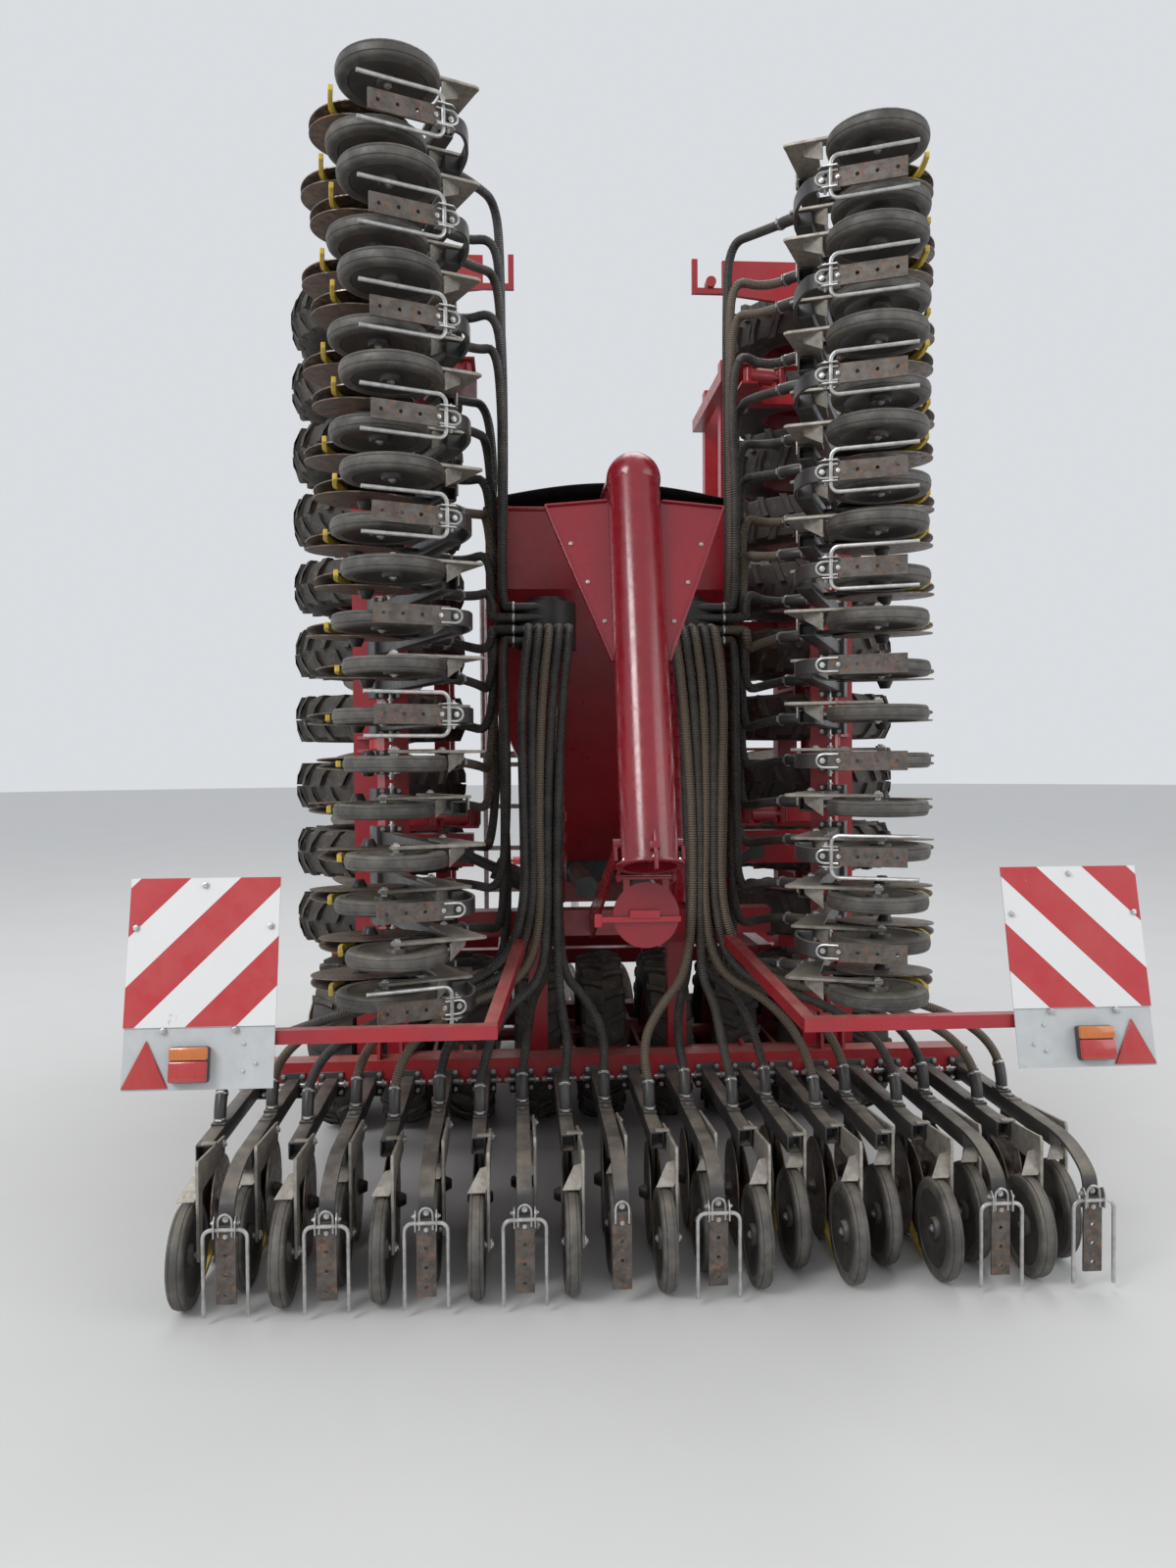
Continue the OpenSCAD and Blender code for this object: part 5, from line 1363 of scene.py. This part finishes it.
def cover_piece():
    """The cover's cloth, which sags a little between the bows."""
    bm = bmesh.new()
    low, high = V0 + HOPPER_V[0] + COVER_INSET, V0 + HOPPER_V[1] - COVER_INSET
    row = [bm.verts.new((x, low, z)) for x, z in cover_section()]
    edges = [bm.edges.new(pair) for pair in zip(row, row[1:])]
    for k in range(ALONG_STEPS):
        made = bmesh.ops.extrude_edge_only(bm, edges=edges)["geom"]
        edges = edges_in(made)
        bmesh.ops.translate(bm, vec=(0, (high - low) / ALONG_STEPS, 0), verts=verts_in(made))
    for vert in bm.verts:
        between = math.sin(math.pi * (BOWS - 1) * (vert.co.y - low) / (high - low)) ** 2
        crown = max(0.0, math.cos(vert.co.x / COVER_HALF * math.pi / 2))
        vert.co.z -= SAG * between * crown
    bmesh.ops.recalc_face_normals(bm, faces=bm.faces)
    piece = finish_piece("roll_cover", bm, "cover", "chassis", smooth=50,
                         replaces=("hopper_cover",))
    shell = piece.modifiers.new("thickness", "SOLIDIFY")
    shell.thickness = 0.0016
    shell.offset = -1


def hopper_rim():
    bm = bmesh.new()
    rear, front = V0 + HOPPER_V[0], V0 + HOPPER_V[1]
    corners = [(-HOPPER_X, rear), (HOPPER_X, rear), (HOPPER_X, front), (-HOPPER_X, front)]
    for (x0, y0), (x1, y1) in zip(corners, corners[1:] + corners[:1]):
        add_rod(bm, (x0, y0, HOPPER_TOP - RIM_DOWN), (x1, y1, HOPPER_TOP - RIM_DOWN), 0.009, 12, 0.002)
    finish_piece("hopper_rim", bm, "red", "chassis")


cover_piece()
hopper_rim()


# Materials of the CAD nodes

NODE_LOOKS = {
    "red": ("main_frame", "drawbar", "hopper", "board_arms", "hitch_head", "wing_frame_left",
            "wing_frame_right"),
    # the seed risers and the auger take the red with painted shade
    "deep_red": ("seed_risers", "auger_tube", "auger_chute", "auger_lid"),
    "mould": ("metering_unit", "fan", "distributor_heads"),
    "zinc": ("platform", "parking_jack"),
    "black": ("fold_cylinders",),
    "board": ("marker_boards",),
}
SECTION_LOOKS = {"cultivator_frame": "red", "depth_cylinders": "red", "packer_axle": "red",
                 "seed_bar": "low_red", "cultivator_discs": "disc", "openers": "disc"}
for look, nodes in NODE_LOOKS.items():
    for node in nodes:
        paint_node(node, look)
for part, look in SECTION_LOOKS.items():
    for section in SECTIONS:
        paint_node(f"{part}_{section}", look)
